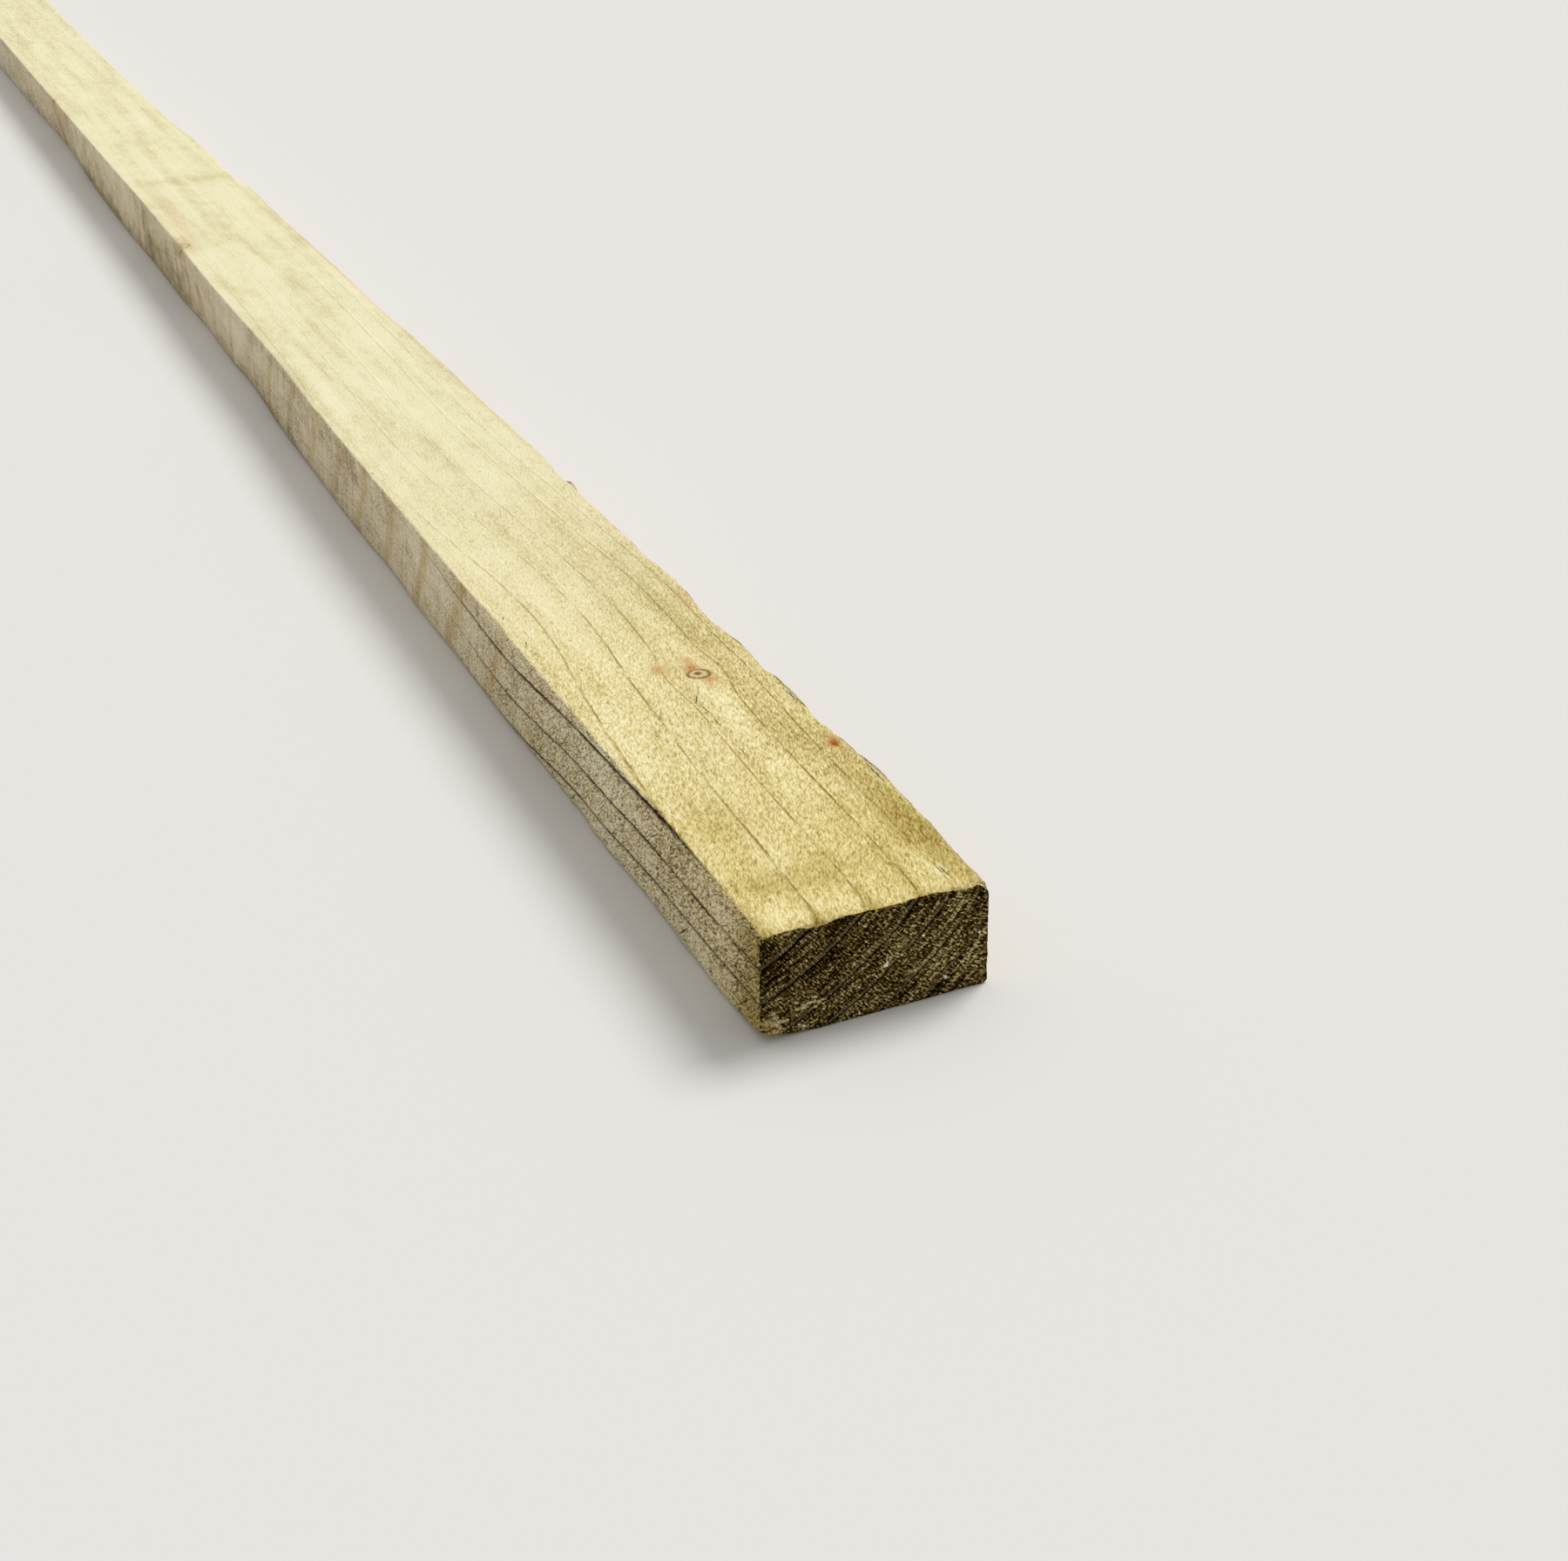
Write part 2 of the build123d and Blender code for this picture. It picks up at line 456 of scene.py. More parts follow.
def endPatch(ring, counts):
    # The four sides of a ring of points, filled in: each inner point is the mean of the straight
    # runs between opposite sides less the flat patch through the four corners
    nU, nL, nT = [counts[f] for f in ("under", "left", "top")]
    wrapped = np.vstack([ring, ring[:1]])
    under = wrapped[: nU + 1]
    left = wrapped[nU : nU + nL + 1]
    top = wrapped[nU + nL : nU + nL + nT + 1][::-1]
    right = wrapped[nU + nL + nT :][::-1]
    place = np.arange(nT + 1) * nU / nT
    fullUnder = np.stack([np.interp(place, np.arange(nU + 1), under[:, k]) for k in range(3)], axis=1)
    p = (np.arange(nT + 1) / nT)[:, None, None]
    q = (np.arange(nL + 1) / nL)[None, :, None]
    overUnder = fullUnder[:, None, :] * (1 - q) + top[:, None, :] * q
    leftRight = right[None, :, :] * (1 - p) + left[None, :, :] * p
    flat = (right[0] * (1 - p) + left[0] * p) * (1 - q) + (right[-1] * (1 - p) + left[-1] * p) * q
    return overUnder + leftRight - flat


def rimAway(y, z):
    return np.minimum(halfWidth - np.abs(y), np.minimum(z, thickness - z))


def buildStick():
    coarse = dict(stick["columns"])
    fine = {face: n * 2 for face, n in coarse.items()}
    columns = sum(coarse.values())
    rows = stationRows()
    body = skinPoints(rows, 1)
    bodyPoints = np.stack([c.ravel() for c in body[:3]], axis=1)
    endRing = skinPoints(np.array([0.0]), 2)
    ringPoints = np.stack([c[0] for c in endRing[:3]], axis=1)
    still, ry, rz = 0.0 * ringPoints[:, 0], ringPoints[:, 1], ringPoints[:, 2]
    ringPoints[:, 0] += 0.3 * np.abs(layeredNoise(still, ry, rz, (1.0, 1.8, 1.8), 3, 54))

    # The weathered end: its grid is drawn towards the dark lines down the slope of the ring number
    inner = endPatch(ringPoints, fine)[1:-1, 1:-1]
    u, y, z = inner[..., 0], inner[..., 1], inner[..., 2]
    step = 0.05
    phase = ringPhase(u, y, z)
    slopeY = (ringPhase(u, y + step, z) - phase) / step
    slopeZ = (ringPhase(u, y, z + step) - phase) / step
    share = 0.6 * easeBetween(0.5, 2.5, rimAway(y, z)) * np.sin(2.0 * np.pi * phase) / (2.0 * np.pi)
    share = share / (slopeY**2 + slopeZ**2)
    y = y - share * slopeY
    z = z - share * slopeZ
    u = u + endRelief(u, y, z, 0.6) * easeBetween(0.0, 0.9, rimAway(y, z))
    innerPoints = np.stack([u, y, z], axis=-1).reshape(-1, 3)

    # The far end is sawn cleaner
    farInner = endPatch(bodyPoints[-columns:], coarse)[1:-1, 1:-1]
    u, y, z = farInner[..., 0], farInner[..., 1], farInner[..., 2]
    u = u - 0.6 * np.abs(endRelief(u, y, z, 0.3)) * easeBetween(0.0, 0.9, rimAway(y, z))
    farPoints = np.stack([u, y, z], axis=-1).reshape(-1, 3)

    # Numbering: body rows, then the weathered end's ring and inner points, then the far end's inner points
    ringStart = len(bodyPoints)
    innerStart = ringStart + len(ringPoints)
    farStart = innerStart + len(innerPoints)
    points = np.concatenate([bodyPoints, ringPoints, innerPoints, farPoints])
    grid = np.arange(len(rows) * columns).reshape(len(rows), columns)
    nextColumn = np.roll(grid, -1, axis=1)
    sides = np.stack([grid[:-1], nextColumn[:-1], nextColumn[1:], grid[1:]], axis=-1).reshape(-1, 4)
    fineRing = ringStart + np.arange(2 * columns)
    even = fineRing[0::2]
    odd = fineRing[1::2]
    collar = np.stack([even, odd, np.roll(even, -1), nextColumn[0], grid[0]], axis=-1)
    blocks = [sides, collar]
    for ring, start, counts, near in (
        (fineRing, innerStart, fine, True), (grid[-1], farStart, coarse, False),
    ):
        nU, nL, nT = [counts[f] for f in ("under", "left", "top")]
        wrapped = np.append(ring, ring[0])
        full = np.zeros((nT + 1, nL + 1), dtype=np.int64)
        full[1:-1, 1:-1] = start + np.arange((nT - 1) * (nL - 1)).reshape(nT - 1, nL - 1)
        full[-1, :] = wrapped[nU : nU + nL + 1]
        full[:, -1] = wrapped[nU + nL : nU + nL + nT + 1][::-1]
        full[0, :] = wrapped[nU + nL + nT :][::-1]
        squares = [full[:-1, 1:-1], full[:-1, 2:], full[1:, 2:], full[1:, 1:-1]]
        quads = np.stack(squares, axis=-1).reshape(-1, 4)
        share = nT // nU
        foot = wrapped[: nU + 1]
        above = np.stack([full[k : nT + 1 - share + k : share, 1] for k in range(share + 1)], axis=-1)
        lowest = np.concatenate([foot[:-1, None], above, foot[1:, None]], axis=1)
        blocks += [quads, lowest] if near else [quads[:, ::-1], lowest[:, ::-1]]
    # Pale fibres of the top face hang down over the weathered end's upper edge in a ragged fringe
    fringe = smoothThrough(points[:, 1], stick["fringe"]) + 0.25 * layeredNoise(
        0.0 * points[:, 0], points[:, 1], 0.0 * points[:, 0], (1.0, 2.2, 1.0), 3, 58
    )
    below = easeBetween(fringe - 0.3, fringe + 0.3, thickness - points[:, 2])
    endMask = np.zeros(len(points))
    endMask[ringStart:farStart] = below[ringStart:farStart]
    endMask[farStart:] = 1.0
    skinOut = np.concatenate([body[3].ravel(), endRing[3].ravel(), 0.0 * endMask[innerStart:]])
    return points, blocks, endMask, skinOut


# What the finish is told at each point of the wood

shading = {
    "paleAlong": [  # 0 is the soaked near end, 1 the pale far stretch
        (0, 0.0), (45, 0.12), (80, 0.25), (125, 0.33), (170, 0.6), (250, 0.86), (375, 1.0), (2330, 1.0),
        (2400, 0.45),
    ],
    "crispAlong": [(0, 1.0), (110, 1.0), (160, 0.7), (230, 0.42), (400, 0.3), (2300, 0.3), (2400, 0.8)],
    "sawnAlong": [(0, 0.0), (110, 0.0), (170, 0.8), (330, 0.7), (600, 0.25), (2400, 0.25)],
}

# Stains: place, reach along each way, strength
stains = [
    ((119.0, -9.3, 25.0), (3.8, 1.4, 3.0), 0.72),
    ((115.6, -8.4, 25.0), (1.8, 2.4, 3.0), 0.78),
    ((108.3, -10.6, 25.0), (1.6, 1.7, 3.0), 0.70),
    ((105.8, -9.8, 25.0), (3.4, 1.2, 3.0), 0.50),
    ((118.0, -1.0, 25.0), (3.0, 1.7, 3.0), 0.80),
    ((65.5, -22.3, 25.0), (1.7, 1.2, 3.0), 1.90),
    ((67.8, -23.2, 25.0), (2.4, 1.2, 3.0), 0.75),
    ((157.0, -23.5, 25.0), (6.0, 2.0, 3.0), 0.35),
    ((640.0, 17.0, 25.0), (45.0, 3.5, 3.0), 0.30),
    ((590.0, 22.0, 25.0), (8.0, 5.0, 5.0), 0.45),
    ((950.0, 25.0, 18.0), (30.0, 5.0, 14.0), 0.30),
    ((700.0, -25.0, 24.6), (420.0, 1.0, 2.0), 0.40),
    ((620.0, 25.0, 0.4), (420.0, 2.0, 1.4), 0.40),
]

# Lighter (plus) and darker (minus) patches: place, reach along each way, strength
patches = [
    ((75.0, 1.4, 25.0), (14.0, 5.0, 3.0), 0.09),
    ((125.0, 7.0, 25.0), (16.0, 7.0, 3.0), 0.09),
    ((98.0, 16.0, 25.0), (14.0, 6.0, 3.0), 0.08),
    ((28.0, 9.0, 25.0), (9.0, 6.0, 3.0), 0.09),
    ((87.0, -7.5, 25.0), (8.0, 3.0, 3.0), 0.07),
    ((5.0, 20.0, 25.0), (4.0, 5.0, 3.0), 0.11),
    ((5.0, 10.0, 25.0), (3.5, 6.0, 3.0), 0.09),
    ((8.0, -16.5, 25.0), (5.0, 1.6, 3.0), 0.20),
    ((5.0, -11.0, 25.0), (4.0, 3.0, 3.0), 0.09),
    ((62.0, -10.0, 25.0), (9.0, 3.0, 3.0), 0.05),
    ((160.0, 12.0, 25.0), (30.0, 9.0, 3.0), 0.05),
    ((280.0, 19.5, 25.0), (55.0, 2.0, 3.0), 0.10),
    ((43.0, 15.0, 25.0), (12.0, 5.0, 3.0), -0.09),
    ((40.0, -6.4, 25.0), (14.0, 4.0, 3.0), -0.06),
    ((78.0, -14.0, 25.0), (16.0, 4.0, 3.0), -0.09),
    ((23.0, -20.0, 25.0), (10.0, 4.0, 3.0), -0.11),
    ((16.0, 1.0, 25.0), (6.0, 8.0, 3.0), -0.08),
    ((16.0, 18.0, 25.0), (5.0, 5.0, 3.0), -0.10),
    ((135.0, -17.0, 25.0), (16.0, 5.0, 3.0), -0.06),
    ((715.0, 0.0, 25.0), (9.0, 30.0, 4.0), -0.10),
    ((590.0, 14.0, 25.0), (16.0, 8.0, 3.0), -0.05),
    ((4.0, 25.0, 12.0), (7.0, 2.0, 16.0), -0.16),
    ((40.0, 25.0, 3.0), (60.0, 2.0, 4.0), 0.07),
    ((0.0, -16.0, 11.0), (3.0, 9.0, 11.0), 0.18),
    ((60.0, 25.0, 3.0), (60.0, 2.0, 4.5), 0.05),
    ((0.0, 15.0, 17.0), (3.0, 9.0, 6.0), -0.10),
    # The next entry is painted shade along the left face's lower edge
    ((410.0, 25.0, 0.0), (90.0, 3.0, 5.0), -0.16),
    ((350.0, 25.0, 20.0), (40.0, 2.0, 5.0), -0.06),
    ((225.0, 25.0, 12.0), (60.0, 2.0, 16.0), 0.07),
    ((110.0, 25.0, 10.0), (70.0, 2.0, 16.0), 0.06),
    ((46.0, -2.0, 25.0), (16.0, 12.0, 3.0), 0.03),
    # The next four are painted light and shade down the left face: paler high up, darker low down
    ((480.0, 25.0, 17.0), (40.0, 2.0, 8.0), 0.12),
    ((640.0, 25.0, 8.0), (60.0, 2.0, 10.0), -0.12),
    ((820.0, 25.0, 0.0), (160.0, 3.0, 6.0), -0.18),
    ((760.0, 25.0, 18.0), (50.0, 2.0, 9.0), 0.10),
]

# Where the salts soaked in and turned the wood ochre: place, reach along each way, strength
soakedPatches = [
    ((0.0, 25.0, 18.0), (9.0, 3.0, 14.0), 0.9),
    ((2.0, 25.0, 3.0), (12.0, 3.0, 5.0), 0.7),
    ((24.0, -20.0, 25.0), (26.0, 6.0, 3.0), 0.6),
    ((17.0, 10.0, 25.0), (7.0, 14.0, 3.0), 0.4),
    ((1.0, 12.3, 25.0), (7.0, 1.3, 3.0), 0.9),
    ((1.0, 0.6, 25.0), (8.0, 1.1, 3.0), 0.9),
    ((1.0, -9.8, 25.0), (7.0, 1.0, 3.0), 0.8),
    ((42.0, 14.0, 25.0), (14.0, 8.0, 3.0), 0.3),
]


def softSpots(u, y, z, spots):
    # Adds up bell-shaped spots: strength times e to minus the squared distance in reaches
    total = 0.0
    for (su, sy, sz), (ru, ry, rz), strength in spots:
        total = total + strength * bell(u, su, ru) * bell(y, sy, ry) * bell(z, sz, rz)
    return total


def woodMarks(u, y, z, sideways, endMask, extra=0.0, salt=0.0):
    # sideways is how far the skin there faces left (plus) or right (minus), from -1 to 1. On the left
    # face the rings are read at its sawn plane, so that a check stays dark down to its bottom.
    fromEnd = np.minimum(u, length - u)
    onLeft = (sideways > 0.3) & (y > halfWidth - 2.5)
    phase = ringPhase(u, np.where(onLeft, halfWidth, y), z)
    out, arc = roundPith(u, y, z)
    pale = smoothThrough(u, shading["paleAlong"])
    dimmer = 0.07 * easeBetween(3.0, 24.0, -y) * (1.0 - easeBetween(120.0, 260.0, u))
    tone = softSpots(u, y, z, patches) - dimmer
    still = np.zeros_like(u)
    return {
        "ringPhase": phase,
        "fromPith": out,
        "roundPith": arc,
        "endGrain": np.maximum(endMask, (1.0 - easeBetween(0.1, 0.9, fromEnd)) * (z < thickness - 2.0)),
        "sideFace": np.abs(sideways),
        "checkOpen": checkAmount(u, phase, sideways),
        "pale": pale,
        "crisp": smoothThrough(u, shading["crispAlong"]),
        "sawn": smoothThrough(u, shading["sawnAlong"]) * easeBetween(0.3, 0.9, np.abs(sideways)),
        "tone": tone,
        "rust": softSpots(u, y, z, stains),
        "soak": softSpots(u, y, z, soakedPatches),
        "fibre": still + extra,
        "salt": still + salt,
    }


def makeMesh(name, points, blocks, attributes, material, smooth=True):
    # Fills a mesh from whole arrays: points in mm from the weathered end, and blocks of faces that
    # each have the same number of corners
    mesh = bpy.data.meshes.new(name)
    place = points * mm
    place[:, 0] += battenLow[0]
    corners = np.concatenate([block.ravel() for block in blocks]).astype(np.int32)
    sizes = np.concatenate([np.full(len(block), block.shape[1]) for block in blocks])
    starts = np.concatenate([[0], np.cumsum(sizes)[:-1]]).astype(np.int32)
    mesh.vertices.add(len(place))
    mesh.vertices.foreach_set("co", place.astype(np.float32).ravel())
    mesh.loops.add(len(corners))
    mesh.loops.foreach_set("vertex_index", corners)
    mesh.polygons.add(len(starts))
    mesh.polygons.foreach_set("loop_start", starts)
    mesh.polygons.foreach_set("use_smooth", np.full(len(starts), smooth))
    for key, values in attributes.items():
        mesh.attributes.new(key, "FLOAT", "POINT").data.foreach_set("value", values.astype(np.float32))
    mesh.update(calc_edges=True)
    mesh.validate()
    mesh.materials.append(material)
    piece = bpy.data.objects.new(name, mesh)
    bpy.context.scene.collection.objects.link(piece)
    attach(piece, "root")
    print(name, "has", len(place), "points and", int((sizes - 2).sum()), "triangles")
    return piece


# Loose wood: lifted fibres and slivers, crushed chips and grains of dried salt

def tubes(path, out, wide, deep, sides):
    # Closed tubes along many paths at once. Round each point of a path stand the corners of an
    # ellipse: half width times the cosine across the skin, half depth times the sine out of it. The
    # first corner stands straight out, so that three sides make a little roof.
    count, steps = path.shape[:2]
    along = np.gradient(path, axis=1)
    along /= np.linalg.norm(along, axis=-1, keepdims=True)
    across = np.cross(along, out)
    across /= np.linalg.norm(across, axis=-1, keepdims=True)
    turn = 2.0 * np.pi * (np.arange(sides) / sides + 0.25)
    ring = across[:, :, None] * (wide[..., None] * np.cos(turn))[..., None]
    ring = ring + out[:, :, None] * (deep[..., None] * np.sin(turn))[..., None]
    points = (path[:, :, None] + ring).reshape(-1, 3)
    index = np.arange(len(points)).reshape(count, steps, sides)
    following = np.roll(index, -1, axis=2)
    walls = [index[:, :-1], index[:, 1:], following[:, 1:], following[:, :-1]]
    blocks = [np.stack(walls, axis=-1).reshape(-1, 4), index[:, 0], index[:, -1, ::-1]]
    return points, blocks


fibreSettings = {
    "topCount": 5200,
    "leftCount": 1700,
    "rimCount": 500,
    "atArrises": 0.2,  # share of them drawn out to the top arrises
    "stretch": 290.0,  # how far from the weathered end they go
    "long": (0.9, 3.2),
    "thick": (0.045, 0.10),  # half thickness
    "topLean": -18.0,  # degrees from the grain
    "leftLean": -36.0,
    "spread": 20.0,
    "arch": 0.10,
}


def looseFibres():
    # Wool raised by the saw: each fibre's height over the skin is its arch times 4t(1 - t), less a
    # little that keeps both ends buried, and its middle is bent sideways by the same curve
    f = fibreSettings
    draw = np.random.default_rng(7)
    count = f["topCount"] + f["leftCount"] + f["rimCount"]
    onTop = np.arange(count) < f["topCount"]
    onRim = np.arange(count) >= f["topCount"] + f["leftCount"]
    middle = f["stretch"] * draw.random(count) ** 1.5 + 0.6
    middle = np.where(onRim, draw.uniform(0.5, 1.8, count), middle)
    place = draw.uniform(-1.0, 1.0, count)
    crowd = np.sign(place) * (1.0 - 0.13 * place**2)
    place = np.where(draw.random(count) < f["atArrises"], crowd, place)
    low = draw.random(count) ** 1.6
    long = draw.uniform(*f["long"], count) * np.where(onRim, 0.55, 1.0)
    lean = np.where(onTop | onRim, f["topLean"], f["leftLean"])
    turn = np.radians(lean + f["spread"] * draw.standard_normal(count))
    bend = 0.14 * long * draw.standard_normal(count)
    thick = draw.uniform(*f["thick"], count)
    arch = f["arch"] * draw.uniform(0.4, 1.7, count)
    t = np.linspace(0.0, 1.0, 4)[None, :]
    hump = 4.0 * t * (1.0 - t)
    along = long[:, None] * (t - 0.5)
    aside = bend[:, None] * hump
    cosTurn, sinTurn = np.cos(turn)[:, None], np.sin(turn)[:, None]
    u = np.clip(middle[:, None] + along * cosTurn - aside * sinTurn, 0.3, None)
    sideways = along * sinTurn + aside * cosTurn
    flat = (onTop | onRim)[:, None]
    y = np.where(flat, np.clip(place[:, None] * 24.6 + sideways, -24.9, 24.9), halfWidth)
    z = np.where(flat, thickness, np.clip(low[:, None] * 23.5 + 0.4 + sideways, 0.3, 24.6))
    ny = np.where(flat, 0.0, 1.0) + 0.0 * u
    nz = np.where(flat, 1.0, 0.0) + 0.0 * u
    su, sy, sz, ny, nz = toSurface(u, y, z, ny, nz)
    out = np.stack([0.0 * ny, ny, nz], axis=-1)
    path = np.stack([su, sy, sz], axis=-1) + out * (arch[:, None] * hump - 0.07)[..., None]
    slim = thick[:, None] * (0.35 + 0.65 * hump)
    points, blocks = tubes(path, out, slim * 1.35, slim * 0.7, 3)
    lift = np.repeat(draw.uniform(0.05, 0.6, count), 4 * 3)
    marks = woodMarks(*points.T, np.repeat(ny.ravel(), 3), 0.0, extra=lift)
    return points, blocks, marks


# Slivers standing off an arris: where each starts and ends, its side, how wide and thick it is,
# how far it stands off at its middle, and how high up the side it starts
slivers = [
    {"run": (80.0, 109.0), "y": -1, "wide": 0.9, "thick": 0.30, "lift": 0.35, "z": 25.0},
    {"run": (42.0, 60.0), "y": -1, "wide": 0.8, "thick": 0.28, "lift": 0.35, "z": 25.0},
    {"run": (60.0, 71.0), "y": -1, "wide": 0.6, "thick": 0.22, "lift": 0.30, "z": 24.6},
    {"run": (120.0, 131.0), "y": -1, "wide": 0.6, "thick": 0.22, "lift": 0.25, "z": 24.8},
    {"run": (243.0, 253.0), "y": -1, "wide": 1.1, "thick": 0.45, "lift": 0.55, "z": 24.6},
    {"run": (22.0, 31.0), "y": 1, "wide": 0.5, "thick": 0.16, "lift": 0.20, "z": 23.0},
    {"run": (6.0, 15.0), "y": 1, "wide": 0.7, "thick": 0.22, "lift": 0.25, "z": 3.6},
    {"run": (14.0, 24.0), "y": 1, "wide": 0.6, "thick": 0.20, "lift": 0.25, "z": 2.2},
    {"run": (33.0, 45.0), "y": 1, "wide": 0.5, "thick": 0.18, "lift": 0.22, "z": 1.6},
    {"run": (88.0, 97.0), "y": 1, "wide": 0.5, "thick": 0.18, "lift": 0.22, "z": 1.2},
    {"run": (104.0, 112.0), "y": 1, "wide": 0.6, "thick": 0.20, "lift": 0.25, "z": 1.8},
]


def liftedSlivers():
    # Lens-shaped strips: width and thickness follow the square root of 4t(1 - t), and the strip
    # stands off its face most at its middle
    t = np.linspace(0.0, 1.0, 26)
    hump = 4.0 * t * (1.0 - t)
    rows = [[s[k] for s in slivers] for k in ("y", "wide", "thick", "lift", "z")]
    side, wide, thick, lift, high = [np.array(r, dtype=float)[:, None] for r in rows]
    runs = np.array([s["run"] for s in slivers])
    u = runs[:, :1] + (runs[:, 1:] - runs[:, :1]) * t
    wobble = 0.25 * latticeNoise(u, side * 9.0 + high, 0.0 * u, (4.0, 1.0, 1.0), 91)
    y = side * halfWidth + 0.0 * u
    z = np.clip(high + wobble, 0.4, thickness)
    su, sy, sz, ny, nz = toSurface(u, y, z, side + 0.0 * u, 0.0 * u)
    out = np.stack([0.0 * ny, ny, nz], axis=-1)
    path = np.stack([su, sy, sz], axis=-1) + out * (lift * hump**1.5 - 0.06)[..., None]
    slim = np.sqrt(0.06 + 0.94 * hump)
    points, blocks = tubes(path, out, wide * slim * 0.6, thick * slim * 0.6, 8)
    furthest = halfWidth + stick["sliverProud"]
    points[:, 1] = np.clip(points[:, 1], -furthest, furthest)
    marks = woodMarks(*points.T, 0.0 * points[:, 0], 0.0, extra=0.1)
    return points, blocks, marks


def lumps(centres, sizes, rough, seed):
    # Closed lumps on a grid of 12 meridians by 7 rings between two poles: each point stands at its
    # lump's half sizes times the unit sphere, times one plus some lattice noise
    rings, around = 7, 12
    lat = np.pi * (np.arange(rings) + 1) / (rings + 1)
    lon = 2.0 * np.pi * np.arange(around) / around
    x = np.outer(np.sin(lat), np.cos(lon)).ravel()
    y = np.outer(np.sin(lat), np.sin(lon)).ravel()
    z = np.repeat(np.cos(lat), around)
    ball = np.stack([np.append(x, [0, 0]), np.append(y, [0, 0]), np.append(z, [1, -1])], axis=-1)
    count = len(centres)
    each = np.arange(count)[:, None] * 7.3
    apart = (ball[:, 0] + each, ball[:, 1] - each, ball[:, 2] + 0.0 * each)
    bumps = layeredNoise(*apart, (0.9, 0.9, 0.9), 2, seed)
    points = centres[:, None] + sizes[:, None] * ball * (1.0 + rough * bumps[..., None])
    grid = np.arange(rings * around).reshape(rings, around)
    after = np.roll(grid, -1, axis=1)
    walls = np.stack([grid[:-1], grid[1:], after[1:], after[:-1]], axis=-1).reshape(-1, 4)
    north = np.stack([np.full(around, rings * around), grid[0], after[0]], axis=-1)
    south = np.stack([np.full(around, rings * around + 1), after[-1], grid[-1]], axis=-1)
    shift = (np.arange(count) * len(ball))[:, None, None]
    blocks = [(block[None] + shift).reshape(-1, block.shape[1]) for block in (walls, north, south)]
    return points.reshape(-1, 3), blocks


# Grains of dried salt on the weathered end: across, up, radius
saltSpots = [
    (-1.8, 10.8, 0.52), (-2.2, 11.3, 0.28), (-10.0, 15.5, 0.42), (-11.6, 16.5, 0.28), (-5.2, 12.4, 0.30),
    (4.0, 7.4, 0.30), (-15.3, 4.1, 0.38), (-14.9, 4.5, 0.22), (11.7, 4.5, 0.26), (-22.8, 12.7, 0.30),
    (5.5, 8.5, 0.26), (9.5, 5.2, 0.20), (-7.0, 14.0, 0.20), (3.9, 1.0, 0.26), (-19.0, 9.0, 0.18),
    (-2.5, 3.0, 0.18), (16.0, 1.8, 0.26), (-9.0, 14.9, 0.18), (7.5, 3.4, 0.18), (1.0, 9.2, 0.18),
]

# Heaps of crushed fibres at the end's lower left: where, how far they spread, how many, their size
crushedHeaps = [
    {"at": (22.6, 4.2), "spread": (1.3, 0.8), "count": 16, "size": 0.90},
    {"at": (14.4, 6.8), "spread": (1.5, 0.6), "count": 12, "size": 0.50},
    {"at": (21.4, 9.4), "spread": (1.0, 0.12), "count": 9, "size": 0.20},
    {"at": (18.2, 2.2), "spread": (2.6, 0.5), "count": 16, "size": 0.30},
]


def endLumps(y, z, sizes, seed):
    # Lumps sunk by a third of their depth in the end's own surface
    u = 0.1 + endRelief(0.0 * y, y, z, 0.6) * easeBetween(0.0, 0.9, rimAway(y, z))
    return lumps(np.stack([u - 0.3 * sizes[:, 0], y, z], axis=-1), sizes, 0.45, seed)


def saltGrains():
    across, up, radius = np.array(saltSpots).T
    points, blocks = endLumps(across, up, np.stack([radius] * 3, axis=-1), 95)
    return points, blocks, woodMarks(*points.T, 0.0 * points[:, 0], 0.0, salt=1.0)


def crushedFibres():
    draw = np.random.default_rng(23)
    counts = [heap["count"] for heap in crushedHeaps]
    middle, spread = [np.repeat([heap[k] for heap in crushedHeaps], counts, axis=0) for k in ("at", "spread")]
    size = np.repeat([heap["size"] for heap in crushedHeaps], counts)[:, None]
    place = middle + spread * draw.standard_normal((len(size), 2))
    place = np.clip(place, (-24.4, 1.0), (24.4, 24.0))
    sizes = size * draw.uniform((0.4, 0.6, 0.3), (0.9, 1.9, 0.8), (len(size), 3))
    points, blocks = endLumps(*place.T, sizes, 97)
    marks = woodMarks(*points.T, 0.0 * points[:, 0] + 0.7, 0.0)
    marks["endGrain"] = 0.05 + 0.0 * marks["tone"]
    return points, blocks, marks


# Finishes

def linearColour(hexText):
    # sRGB hex to linear: c / 12.92 under 0.04045, else ((c + 0.055) / 1.055) to the power 2.4
    parts = [int(hexText[k : k + 2], 16) / 255.0 for k in (1, 3, 5)]
    linear = [c / 12.92 if c <= 0.04045 else ((c + 0.055) / 1.055) ** 2.4 for c in parts]
    return (*linear, 1.0)


def perMm(size):
    # Noise scale, in features per metre, for a feature of this many mm
    return 1.0 / (size * mm)


def join(tree, source, socket):
    # A node given as the source stands for its first output
    tree.links.new(source.outputs[0] if isinstance(source, bpy.types.Node) else source, socket)


def addNode(tree, kind, settings=None, values=None, links=None):
    # Adds one shader node: its settings, its sockets' values and what is linked into it
    node = tree.nodes.new("ShaderNode" + kind)
    for key, value in (settings or {}).items():
        setattr(node, key, value)
    for key, value in (values or {}).items():
        node.inputs[key].default_value = value
    for key, source in (links or {}).items():
        join(tree, source, node.inputs[key])
    return node


def setRamp(node, stops):
    # Gives a colour ramp its stops, each a place from 0 to 1 and a hex colour
    ramp = node.color_ramp
    while len(ramp.elements) < len(stops):
        ramp.elements.new(0.5)
    for element, (place, colour) in zip(ramp.elements, stops):
        element.position = place
        element.color = linearColour(colour)


